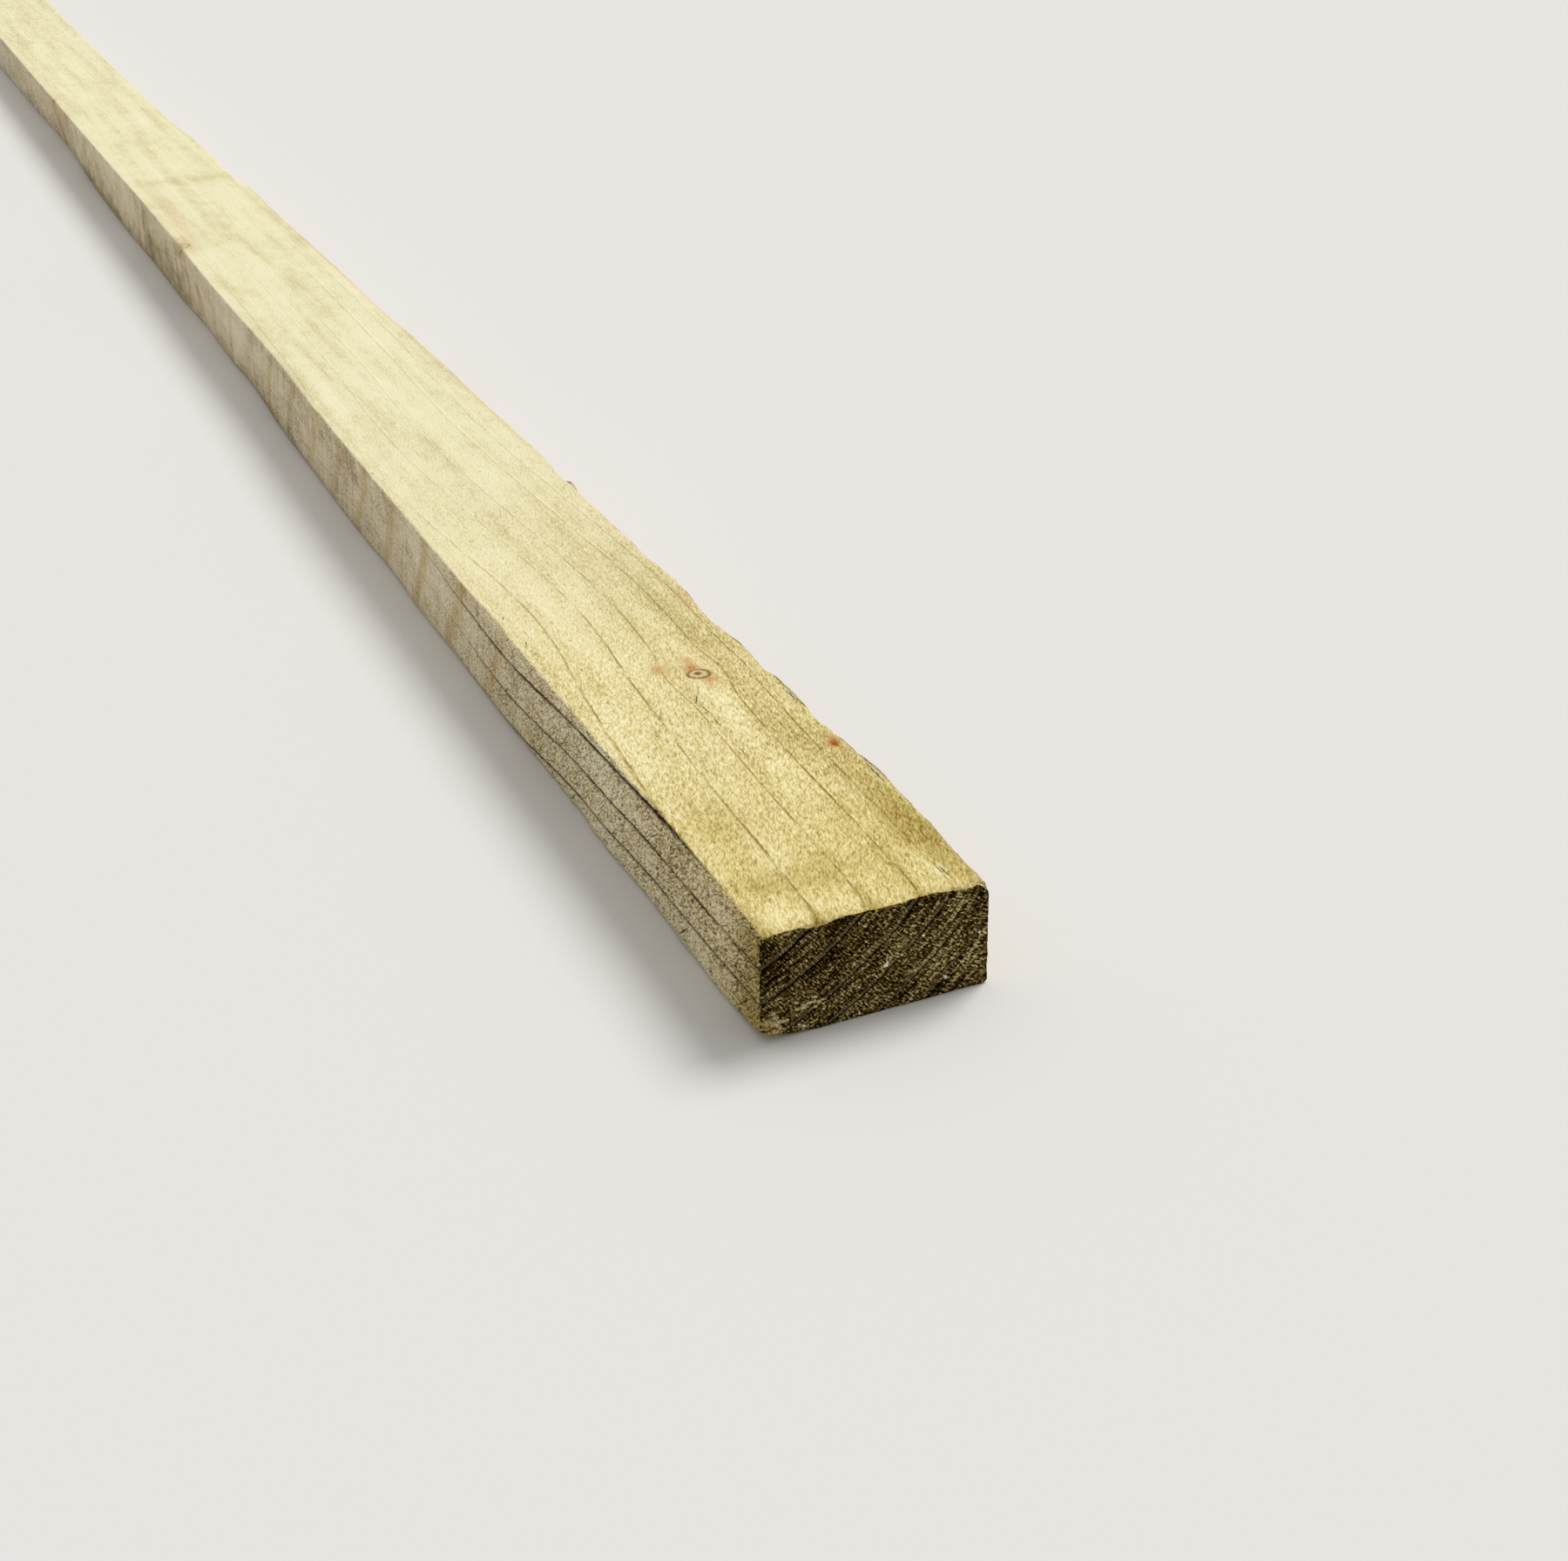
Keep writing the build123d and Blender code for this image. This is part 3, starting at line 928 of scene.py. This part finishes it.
# From dark to light, for each face near the weathered end and far from it
woodTones = {
    "topNear": [(0.0, "#7C6428"), (0.25, "#BAA35A"), (0.5, "#E4D08A"), (0.75, "#FBF0BA"), (1.0, "#FFFCE2")],
    "topFar": [(0.1, "#A89868"), (0.32, "#D2C492"), (0.5, "#F0E8BF"), (0.68, "#F8F1CF"), (0.9, "#FFFCE8")],
    "sideNear": [(0.0, "#3E311A"), (0.25, "#978358"), (0.5, "#DEC892"), (0.75, "#FFF2C8"), (1.0, "#FFFFEE")],
    "sideFar": [(0.1, "#655C48"), (0.34, "#B5A784"), (0.5, "#EEDDBA"), (0.68, "#FCF1D6"), (0.9, "#FFFCEC")],
    "end": [(0.05, "#030200"), (0.28, "#1C1206"), (0.5, "#4B3A18"), (0.72, "#8C7642"), (0.95, "#D9CB98")],
}

markColours = {
    "ringLine": "#B3A27C",  # multiplied in
    "soak": "#CFC69A",  # multiplied in
    "sawMark": "#EDE4D0",  # multiplied in
    "rust": "#C68A4C",
    "rustDeep": "#8A4A1E",
    # painted shade inside the open checks and splits
    "check": "#38230A",
    "knotHeart": "#5A4222",
    "knotTan": "#B59A62",
    "knotPale": "#E2D6A8",
    "knotRim": "#5C4424",
    # Painted light on the end grain: a grey highlight along each ring's ridge, and shade in the groove past
    # it
    "endRidgeHighlight": "#7A6A50",
    "endGrooveShade": "#0C0703",
    "raisedFibre": "#F6E4A4",
    "salt": "#FFF6E2",
}

# How much each pattern lightens or darkens a face. The fine patterns also make the bump (topNap,
# sideNap and crumble), so the skin is paler where it stands up and darker where it is low: partly
# the pale raised fibres, partly painted shade in the hollows of the nap.
toneWeights = {
    "topFine": {"wool": 1.0, "cross": 0.85, "grains": 0.3},
    "topBroad": {"fibres": 0.20, "mottle": 0.20, "clouds": 0.18, "stripes": 0.32},
    "sideFine": {"slash": 1.8, "comb": 1.4, "grains": 1.2},
    "sideBroad": {"fibres": 0.28, "mottle": 0.34, "clouds": 0.32, "scratches": 0.36},
    "end": {"crumbs": 1.4, "strokes": 2.0, "bands": 1.2, "mottle": 0.6},
    "topNap": {"wool": 0.6, "cross": 0.5, "fibres": 0.35, "grains": 0.2},
    "sideNap": {"slash": 0.8, "comb": 0.6, "grains": 0.3},
    "crumble": {"crumbs": 0.7, "strokes": 0.6},
}

# The finish of the surface. Widths of lines are shares of the distance from ring to ring.
surface = {
    "roughness": 0.88,
    "bump": 0.38,  # mm
    "splitSink": 0.5,
    "lineWidth": 0.052,
    "lineWaver": 0.06,
    "slitWidth": (0.078, 0.036),  # where it begins and where it is full
    "splitDepth": 3.0,  # mm, how far below its own face a split still shows
}

# Thin splits, their insides painted dark as shade: place, half length and half width, the face they are on,
# and their turn from the grain in degrees (on the left face plus runs down, on the top plus runs to the left)
gashes = [
    {"at": (8.1, 25.0, 5.6), "long": 5.1, "wide": 0.34, "face": "left", "turn": 39},
    {"at": (39.6, 25.0, 4.1), "long": 4.5, "wide": 0.30, "face": "left", "turn": 40},
    {"at": (66.6, 25.0, 5.3), "long": 3.1, "wide": 0.24, "face": "left", "turn": 33},
    {"at": (107.8, 25.0, 2.6), "long": 3.6, "wide": 0.32, "face": "left", "turn": 40},
    {"at": (18.0, 25.0, 17.5), "long": 2.3, "wide": 0.20, "face": "left", "turn": 32},
    {"at": (113.0, 25.0, 14.3), "long": 6.5, "wide": 0.16, "face": "left", "turn": 27},
    {"at": (129.8, 25.0, 4.9), "long": 2.8, "wide": 0.24, "face": "left", "turn": 50},
    {"at": (94.0, -2.9, 25.0), "long": 3.2, "wide": 0.17, "face": "top", "turn": 3},
    {"at": (87.0, -2.7, 25.0), "long": 3.0, "wide": 0.15, "face": "top", "turn": -4},
    {"at": (99.8, -2.9, 25.0), "long": 2.8, "wide": 0.15, "face": "top", "turn": -26},
    {"at": (70.5, -2.2, 25.0), "long": 3.0, "wide": 0.14, "face": "top", "turn": 2},
    {"at": (102.5, -4.4, 25.0), "long": 1.2, "wide": 0.14, "face": "top", "turn": -30},
    {"at": (6.0, -17.4, 25.0), "long": 3.0, "wide": 0.20, "face": "top", "turn": 2},
    {"at": (92.3, -23.7, 25.0), "long": 5.5, "wide": 0.22, "face": "top", "turn": 1},
    {"at": (50.0, -23.9, 24.6), "long": 7.5, "wide": 0.20, "face": "top", "turn": -2},
    {"at": (126.0, -7.5, 25.0), "long": 1.2, "wide": 0.12, "face": "top", "turn": -20},
    {"at": (147.0, 22.6, 25.0), "long": 1.8, "wide": 0.14, "face": "top", "turn": -15},
    {"at": (164.0, 23.0, 25.0), "long": 1.6, "wide": 0.14, "face": "top", "turn": -20},
]


def treatedSoftwood():
    # Pressure treated spruce, band sawn: a matt, woolly, butter yellow skin with a green-brown cast
    # where the salts soaked in, thin grey-olive ring lines, and dark, crumbly end grain
    c = markColours
    s = surface
    times, plus, timesPlus = [{"operation": name} for name in ("MULTIPLY", "ADD", "MULTIPLY_ADD")]
    colourMix, numberMix = {"data_type": "RGBA"}, {"data_type": "FLOAT"}
    material = bpy.data.materials.new("pressureTreatedSpruceBandSawn")
    material.use_nodes = True
    tree = material.node_tree
    shader = tree.nodes["Principled BSDF"]
    shader.inputs["Roughness"].default_value = s["roughness"]
    shader.inputs["Specular IOR Level"].default_value = 0.0
    here = addNode(tree, "TexCoord").outputs["Object"]
    marks = {}
    for key in (
        "ringPhase", "fromPith", "roundPith", "endGrain", "sideFace", "checkOpen", "pale", "crisp",
        "sawn", "tone", "rust", "soak", "fibre", "salt",
    ):
        marks[key] = addNode(tree, "Attribute", {"attribute_name": key}).outputs["Fac"]

    # Places that the patterns are read at: bent by a slow noise so that the wool runs this way and
    # that, jittered by a fine one for ragged splits, and square to the rings for the end grain. The
    # wool's strokes lie in the face they are on, so the top and the sides have a pair each.
    bends = {}
    for key, size, shift in (("bent", 5.0, 1.6), ("jagged", 1.3, 0.7)):
        values = {"Scale": perMm(size), "Detail": 2.0}
        drift = addNode(tree, "TexNoise", values=values, links={"Vector": here}).outputs["Color"]
        bends[key] = addNode(tree, "VectorMath", timesPlus, {1: (shift * mm,) * 3}, {0: drift, 2: here})
    polar = addNode(tree, "CombineXYZ", links={"X": marks["fromPith"], "Y": marks["roundPith"]})
    roots = {"here": here, "polar": polar, **bends}
    spaces = {
        "along": ("here", (0, 0, 0), (11.0, 1.0, 1.0)),
        "stripe": ("here", (0, 0, 0), (18.0, 1.0, 1.0)),
        "wool": ("bent", (0, 0, -11), (4.6, 1.0, 1.0)),
        "cross": ("bent", (0, 0, -30), (4.6, 1.0, 1.0)),
        "comb": ("bent", (0, 10, 0), (3.4, 1.0, 1.0)),
        "slash": ("bent", (0, 38, 0), (4.0, 1.0, 1.0)),
        "plain": ("here", (0, 0, 0), (1.0, 1.0, 1.0)),
        "wide": ("here", (0, 0, 0), (1.9, 1.0, 1.0)),
        "upright": ("here", (0, -14, 0), (1.0, 3.0, 16.0)),
        "slanted": ("here", (0, -34, 0), (1.0, 1.0, 1.0)),
        "rows": ("polar", (0, 0, 0), (1.15 / mm, 1.0 / mm, 1.0)),
        "square": ("polar", (0, 0, 8), (3.4 / mm, 1.0 / mm, 1.0)),
        "arcs": ("polar", (0, 0, 0), (1.0 / mm, 14.0 / mm, 1.0)),
    }
    at = {}
    for key, (root, turn, stretch) in spaces.items():
        values = {"Rotation": [math.radians(a) for a in turn], "Scale": stretch}
        at[key] = addNode(tree, "Mapping", {"vector_type": "TEXTURE"}, values, {"Vector": roots[root]})

    # Patterns: where each is read, the size of its cells in mm, its detail and roughness. A real
    # wood fibre is some 0.03 mm across, so the fine ones are drawn as coarse as they need to show.
    patterns = {}
    for key, space, size, detail, rough in (
        ("fibres", "along", 0.80, 4.0, 0.60), ("wool", "wool", 0.50, 3.0, 0.62),
        ("cross", "cross", 0.38, 1.5, 0.50), ("comb", "comb", 0.38, 3.0, 0.65),
        ("slash", "slash", 0.46, 3.0, 0.65), ("grains", "plain", 0.34, 2.0, 0.60),
        ("mottle", "wide", 6.5, 3.0, 0.60), ("clouds", "wide", 24.0, 2.0, 0.50),
        ("crumbs", "rows", 0.50, 2.0, 0.70), ("strokes", "square", 0.36, 2.0, 0.60),
        ("bands", "arcs", 0.80, 2.0, 0.55), ("scratches", "upright", 1.8, 3.0, 0.60),
        ("stripes", "stripe", 6.0, 1.5, 0.50),
    ):
        values = {"Scale": perMm(size), "Detail": detail, "Roughness": rough}
        patterns[key] = addNode(tree, "TexNoise", values=values, links={"Vector": at[space]}).outputs["Fac"]
    # A wave texture repeats every pi / 10 of its own length
    sawScale = 2.0 * math.pi / (20.0 * stick["sawPitch"] * mm)
    sawWave = addNode(
        tree, "TexWave", values={"Scale": sawScale, "Distortion": 1.8, "Detail": 2.0, "Detail Scale": 0.8},
        links={"Vector": at["slanted"]},
    ).outputs["Fac"]
    sums = {}
    for key, weights in toneWeights.items():
        total = None
        for source, weight in weights.items():
            values = {1: weight}
            links = {0: patterns[source]}
            if total is None:
                values[2] = -0.5 * sum(weights.values())
            else:
                links[2] = total
            total = addNode(tree, "Math", timesPlus, values, links)
        sums[key] = total

    # Thin ring lines, broken up along their run
    links = {0: patterns["wool"], 2: marks["ringPhase"]}
    uneven = addNode(tree, "Math", timesPlus, {1: s["lineWaver"]}, links)
    fromLine = addNode(tree, "Math", {"operation": "PINGPONG"}, {1: 0.5}, {0: uneven})
    values = {"From Min": s["lineWidth"], "From Max": 0.0}
    line = addNode(tree, "MapRange", values=values, links={"Value": fromLine})
    broken = addNode(
        tree, "MapRange", values={"From Min": 0.42, "From Max": 0.58, "To Min": 0.25, "To Max": 1.3},
        links={"Value": patterns["fibres"]},
    )
    fading = addNode(tree, "Math", times, links={0: broken, 1: marks["crisp"]})
    lineAmount = addNode(tree, "Math", times, links={0: line, 1: fading})

    # The band saw's slanted marks, narrow and soft, on the sides
    sawLine = addNode(tree, "MapRange", values={"From Min": 0.80}, links={"Value": sawWave})
    sawAmount = addNode(tree, "Math", times, links={0: sawLine, 1: marks["sawn"]})

    # Sawn faces: fine and broad patterns and the listed patches give one tone, which the near
    # and far ramps turn into colours
    faces = {}
    for face in ("top", "side"):
        broad = addNode(tree, "Math", plus, links={0: sums[face + "Broad"], 1: marks["tone"]})
        middle = addNode(tree, "Math", plus, {1: 0.5}, {0: broad})
        links = {0: sums[face + "Fine"], 1: marks["crisp"], 2: middle}
        tone = addNode(tree, "Math", timesPlus, links=links)
        links = {0: marks["pale"]}
        for socket, reach in ((6, "Near"), (7, "Far")):
            links[socket] = addNode(tree, "ValToRGB", links={"Fac": tone})
            setRamp(links[socket], woodTones[face + reach])
        faces[face] = addNode(tree, "Mix", colourMix, links=links).outputs[2]
    values = {"From Min": 0.15, "From Max": 0.8}
    sideAmount = addNode(tree, "MapRange", values=values, links={"Value": marks["sideFace"]})
    links = {0: sideAmount, 6: faces["top"], 7: faces["side"]}
    skin = addNode(tree, "Mix", colourMix, links=links).outputs[2]

    # Distance in knot radii from the nearest knot's line, and in half sizes from the nearest split
    nearest = {}
    spots = {"knot": [], "gash": []}
    for knot in knots:
        place, run = knotLine(knot)
        size = (knot["radius"] * knot["stretch"] * mm, knot["radius"] * mm, 1.0)
        spots["knot"].append((place, (math.atan2(-run[1], run[2]), 0.0, 0.0), size))
    for gash in gashes:
        turn = math.radians(gash["turn"])
        onTop = gash["face"] == "top"
        wide, deep = gash["wide"] * mm, s["splitDepth"] * mm
        size = (gash["long"] * mm, wide if onTop else deep, deep if onTop else wide)
        spots["gash"].append((gash["at"], (0.0, 0.0, turn) if onTop else (0.0, turn, 0.0), size))
    for key, rows in spots.items():
        for place, turn, size in rows:
            location = (battenLow[0] + place[0] * mm, place[1] * mm, place[2] * mm)
            values = {"Location": location, "Rotation": turn, "Scale": size}
            local = addNode(tree, "Mapping", {"vector_type": "TEXTURE"}, values, {"Vector": bends["jagged"]})
            reach = addNode(tree, "VectorMath", {"operation": "LENGTH"}, links={0: local})
            reach = reach.outputs["Value"]
            if key in nearest:
                links = {0: nearest[key], 1: reach}
                reach = addNode(tree, "Math", {"operation": "MINIMUM"}, links=links)
            nearest[key] = reach

    # Painted shade in the cracks: the dark insides of open checks along the rings, and of single splits
    values = dict(zip(("From Min", "From Max"), s["slitWidth"]))
    slit = addNode(tree, "MapRange", values=values, links={"Value": fromLine})
    slitAmount = addNode(tree, "Math", times, links={0: slit, 1: marks["checkOpen"]})
    values = {"From Min": 1.0, "From Max": 0.4, "To Max": 0.85}
    gashAmount = addNode(tree, "MapRange", values=values, links={"Value": nearest["gash"]})
    crackShade = addNode(tree, "Math", {"operation": "MAXIMUM"}, links={0: slitAmount, 1: gashAmount})

    # Knots: a dark heart in a whitish ring, a thin dark rim, then rust that flares along the grain
    knotPlace = addNode(tree, "MapRange", values={"From Max": 2.0}, links={"Value": nearest["knot"]})
    knotColour = addNode(tree, "ValToRGB", links={"Fac": knotPlace})
    setRamp(knotColour, [
        (0.08, c["knotHeart"]), (0.17, c["knotTan"]), (0.28, c["knotPale"]), (0.38, c["knotTan"]),
        (0.47, c["knotRim"]), (0.56, c["rust"]),
    ])
    values = {"From Min": 1.35, "From Max": 1.0, "To Max": 0.9}
    knotShown = addNode(tree, "MapRange", values=values, links={"Value": nearest["knot"]})
    # Those on the pale stretch are fainter
    values = {"From Min": 0.35, "To Min": 1.0, "To Max": 0.45}
    knotFade = addNode(tree, "MapRange", values=values, links={"Value": marks["pale"]})
    knotAmount = addNode(tree, "Math", times, links={0: knotShown, 1: knotFade})
    rustUneven = addNode(
        tree, "MapRange", values={"From Min": 0.3, "From Max": 0.65, "To Min": 0.45, "To Max": 1.15},
        links={"Value": patterns["wool"]},
    )
    rustAmount = addNode(tree, "Math", times, links={0: marks["rust"], 1: rustUneven})
    values = {"From Min": 0.8, "From Max": 1.5, "To Max": 0.9}
    deepAmount = addNode(tree, "MapRange", values=values, links={"Value": rustAmount})

    # Cross-cut ends: crumbly brown, with a thin grey painted highlight on the ridge before each groove, and
    # painted shade darkening the groove itself
    endPatches = addNode(tree, "Math", plus, {1: 0.5}, {0: marks["tone"]})
    endTone = addNode(tree, "Math", plus, links={0: endPatches, 1: sums["end"]})
    endBody = addNode(tree, "ValToRGB", links={"Fac": endTone})
    setRamp(endBody, woodTones["end"])
    part = addNode(tree, "Math", {"operation": "FRACT"}, links={0: uneven})
    # The painted ridge highlights show only here and there, and the painted shade in the grooves fills and
    # empties along their run
    end = endBody
    for colour, source, low, high, least, stops in (
        (c["endRidgeHighlight"], "crumbs", 0.38, 0.58, 0.35, [
            (0.86, "#000000"), (0.935, "#E8E8E8"), (0.965, "#000000"),
        ]),
        (c["endGrooveShade"], "mottle", 0.34, 0.50, 0.60, [
            (0.0, "#FFFFFF"), (0.05, "#F8F8F8"), (0.095, "#000000"), (0.965, "#000000"), (0.985, "#FFFFFF"),
        ]),
    ):
        shape = addNode(tree, "ValToRGB", links={"Fac": part})
        setRamp(shape, stops)
        values = {"From Min": low, "From Max": high, "To Min": least}
        shown = addNode(tree, "MapRange", values=values, links={"Value": patterns[source]})
        amount = addNode(tree, "Math", times, links={0: shape, 1: shown})
        end = addNode(tree, "Mix", colourMix, {7: linearColour(colour)}, {0: amount, 6: end}).outputs[2]
    endFray = addNode(tree, "Math", timesPlus, {1: 1.1, 2: -0.55}, {0: patterns["wool"]})
    endPlace = addNode(tree, "Math", plus, links={0: marks["endGrain"], 1: endFray})
    values = {"From Min": 0.40, "From Max": 0.62}
    endAmount = addNode(tree, "MapRange", values=values, links={"Value": endPlace})

    # Laid over each other from the bare skin up
    for blend, amount, colour in (
        ("MULTIPLY", marks["soak"], c["soak"]),
        ("MULTIPLY", lineAmount, c["ringLine"]),
        ("MULTIPLY", sawAmount, c["sawMark"]),
        ("MIX", rustAmount, c["rust"]),
        ("MIX", deepAmount, c["rustDeep"]),
        ("MIX", knotAmount, knotColour),
        ("MIX", crackShade, c["check"]),
        ("MIX", endAmount, end),
        ("MIX", marks["fibre"], c["raisedFibre"]),
        ("MIX", marks["salt"], c["salt"]),
    ):
        settings = {**colourMix, "blend_type": blend, "clamp_factor": True}
        layer = addNode(tree, "Mix", settings, links={0: amount, 6: skin})
        if isinstance(colour, str):
            layer.inputs[7].default_value = linearColour(colour)
        else:
            join(tree, colour, layer.inputs[7])
        skin = layer.outputs[2]
    join(tree, skin, shader.inputs["Base Color"])

    # Relief too fine for the mesh
    links = {0: sideAmount, 2: sums["topNap"], 3: sums["sideNap"]}
    nap = addNode(tree, "Mix", numberMix, links=links)
    height = addNode(tree, "Mix", numberMix, links={0: endAmount, 2: nap, 3: sums["crumble"]})
    lowered = addNode(tree, "Math", timesPlus, {1: -s["splitSink"]}, {0: crackShade, 2: height})
    values = {"Strength": 1.0, "Distance": s["bump"] * mm}
    bump = addNode(tree, "Bump", values=values, links={"Height": lowered})
    join(tree, bump, shader.inputs["Normal"])
    return material


softwood = treatedSoftwood()
points, blocks, endMask, skinOut = buildStick()
timber = makeMesh("sawnBatten", points, blocks, woodMarks(*points.T, skinOut, endMask), softwood)
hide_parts("batten")
for name, make in (
    ("raisedFibres", looseFibres), ("liftedSlivers", liftedSlivers), ("saltGrains", saltGrains),
    ("crushedFibres", crushedFibres),
):
    makeMesh(name, *make(), softwood, smooth=name != "raisedFibres")


# Studio

studio = {
    "floor": "#E4E2DE",
    "floorSize": 40.0,
    "skyLow": 0.15,  # strength at the horizon
    "skyHigh": 0.70,  # strength overhead
    "sunStrength": 2.0,
    "sunAngle": 28.0,
    "sunFrom": (0.30, -0.75, 1.10),
    "backdrop": "#ECEAE6",
}


def buildFloor():
    half = studio["floorSize"] / 2
    mesh = bpy.data.meshes.new("studioFloor")
    corners = [(-half, -half, 0), (half, -half, 0), (half, half, 0), (-half, half, 0)]
    mesh.from_pydata(corners, [], [(0, 1, 2, 3)])
    material = bpy.data.materials.new("mattPaintedFloor")
    material.use_nodes = True
    shader = material.node_tree.nodes["Principled BSDF"]
    shader.inputs["Base Color"].default_value = linearColour(studio["floor"])
    shader.inputs["Roughness"].default_value = 0.95
    shader.inputs["Specular IOR Level"].default_value = 0.1
    mesh.materials.append(material)
    floor = bpy.data.objects.new("studioFloor", mesh)
    bpy.context.scene.collection.objects.link(floor)


def buildLight():
    # The sky is brightest overhead, which brings out the relief of the upright faces, and shows pale
    # behind the floor; one broad sun from the right and behind leaves the left face and the end in
    # soft shade
    world = bpy.data.worlds.new("studioSky")
    bpy.context.scene.world = world
    world.use_nodes = True
    tree = world.node_tree
    sky = tree.nodes["Background"]
    sky.inputs["Color"].default_value = (1.0, 1.0, 1.0, 1.0)
    place = addNode(tree, "TexCoord")
    parts = addNode(tree, "SeparateXYZ", links={0: place.outputs["Generated"]})
    strength = addNode(
        tree, "MapRange", values={"To Min": studio["skyLow"], "To Max": studio["skyHigh"]},
        links={"Value": parts.outputs["Z"]},
    )
    join(tree, strength, sky.inputs["Strength"])
    seen = addNode(tree, "Background", values={"Color": linearColour(studio["backdrop"]), "Strength": 1.0})
    ray = addNode(tree, "LightPath")
    direct = ray.outputs["Is Camera Ray"]
    for kind in ("Is Glossy Ray", "Is Transmission Ray"):
        links = {0: direct, 1: ray.outputs[kind]}
        direct = addNode(tree, "Math", {"operation": "MAXIMUM"}, links=links)
    both = addNode(tree, "MixShader", links={0: direct, 1: sky, 2: seen})
    join(tree, both, tree.nodes["World Output"].inputs["Surface"])
    lamp = bpy.data.lights.new("broadSun", "SUN")
    lamp.energy = studio["sunStrength"]
    lamp.angle = math.radians(studio["sunAngle"])
    sun = bpy.data.objects.new("broadSun", lamp)
    sun.rotation_mode = "QUATERNION"
    sun.rotation_quaternion = Vector(studio["sunFrom"]).to_track_quat("Z", "Y")
    bpy.context.scene.collection.objects.link(sun)


camera = {
    "place": (-311.9, 159.8, 239.7),  # mm: from the weathered end, across, up
    "yaw": -24.222,
    "pitch": -28.128,
    "roll": -0.848,
    "lens": 48.73,
}


def buildCamera():
    # Looks along (cos yaw cos pitch, sin yaw cos pitch, sin pitch), then rolls about that line
    yaw, pitch, roll = [math.radians(camera[k]) for k in ("yaw", "pitch", "roll")]
    forward = Vector((math.cos(yaw) * math.cos(pitch), math.sin(yaw) * math.cos(pitch), math.sin(pitch)))
    right = Vector((math.sin(yaw), -math.cos(yaw), 0.0))
    up = right.cross(forward)
    rolledRight = right * math.cos(roll) + up * math.sin(roll)
    rolledUp = up * math.cos(roll) - right * math.sin(roll)
    lens = bpy.data.cameras.new("viewer")
    lens.lens = camera["lens"]
    lens.sensor_width = 36.0
    lens.clip_start, lens.clip_end = 0.01, 100.0
    viewer = bpy.data.objects.new("viewer", lens)
    turned = Matrix((rolledRight, rolledUp, -forward)).transposed().to_4x4()
    place = Vector(camera["place"]) * mm
    place.x += battenLow[0]
    viewer.matrix_world = Matrix.Translation(place) @ turned
    bpy.context.scene.collection.objects.link(viewer)
    bpy.context.scene.camera = viewer


buildFloor()
buildLight()
buildCamera()
bpy.context.scene.view_settings.view_transform = "Standard"
print("studio ready")
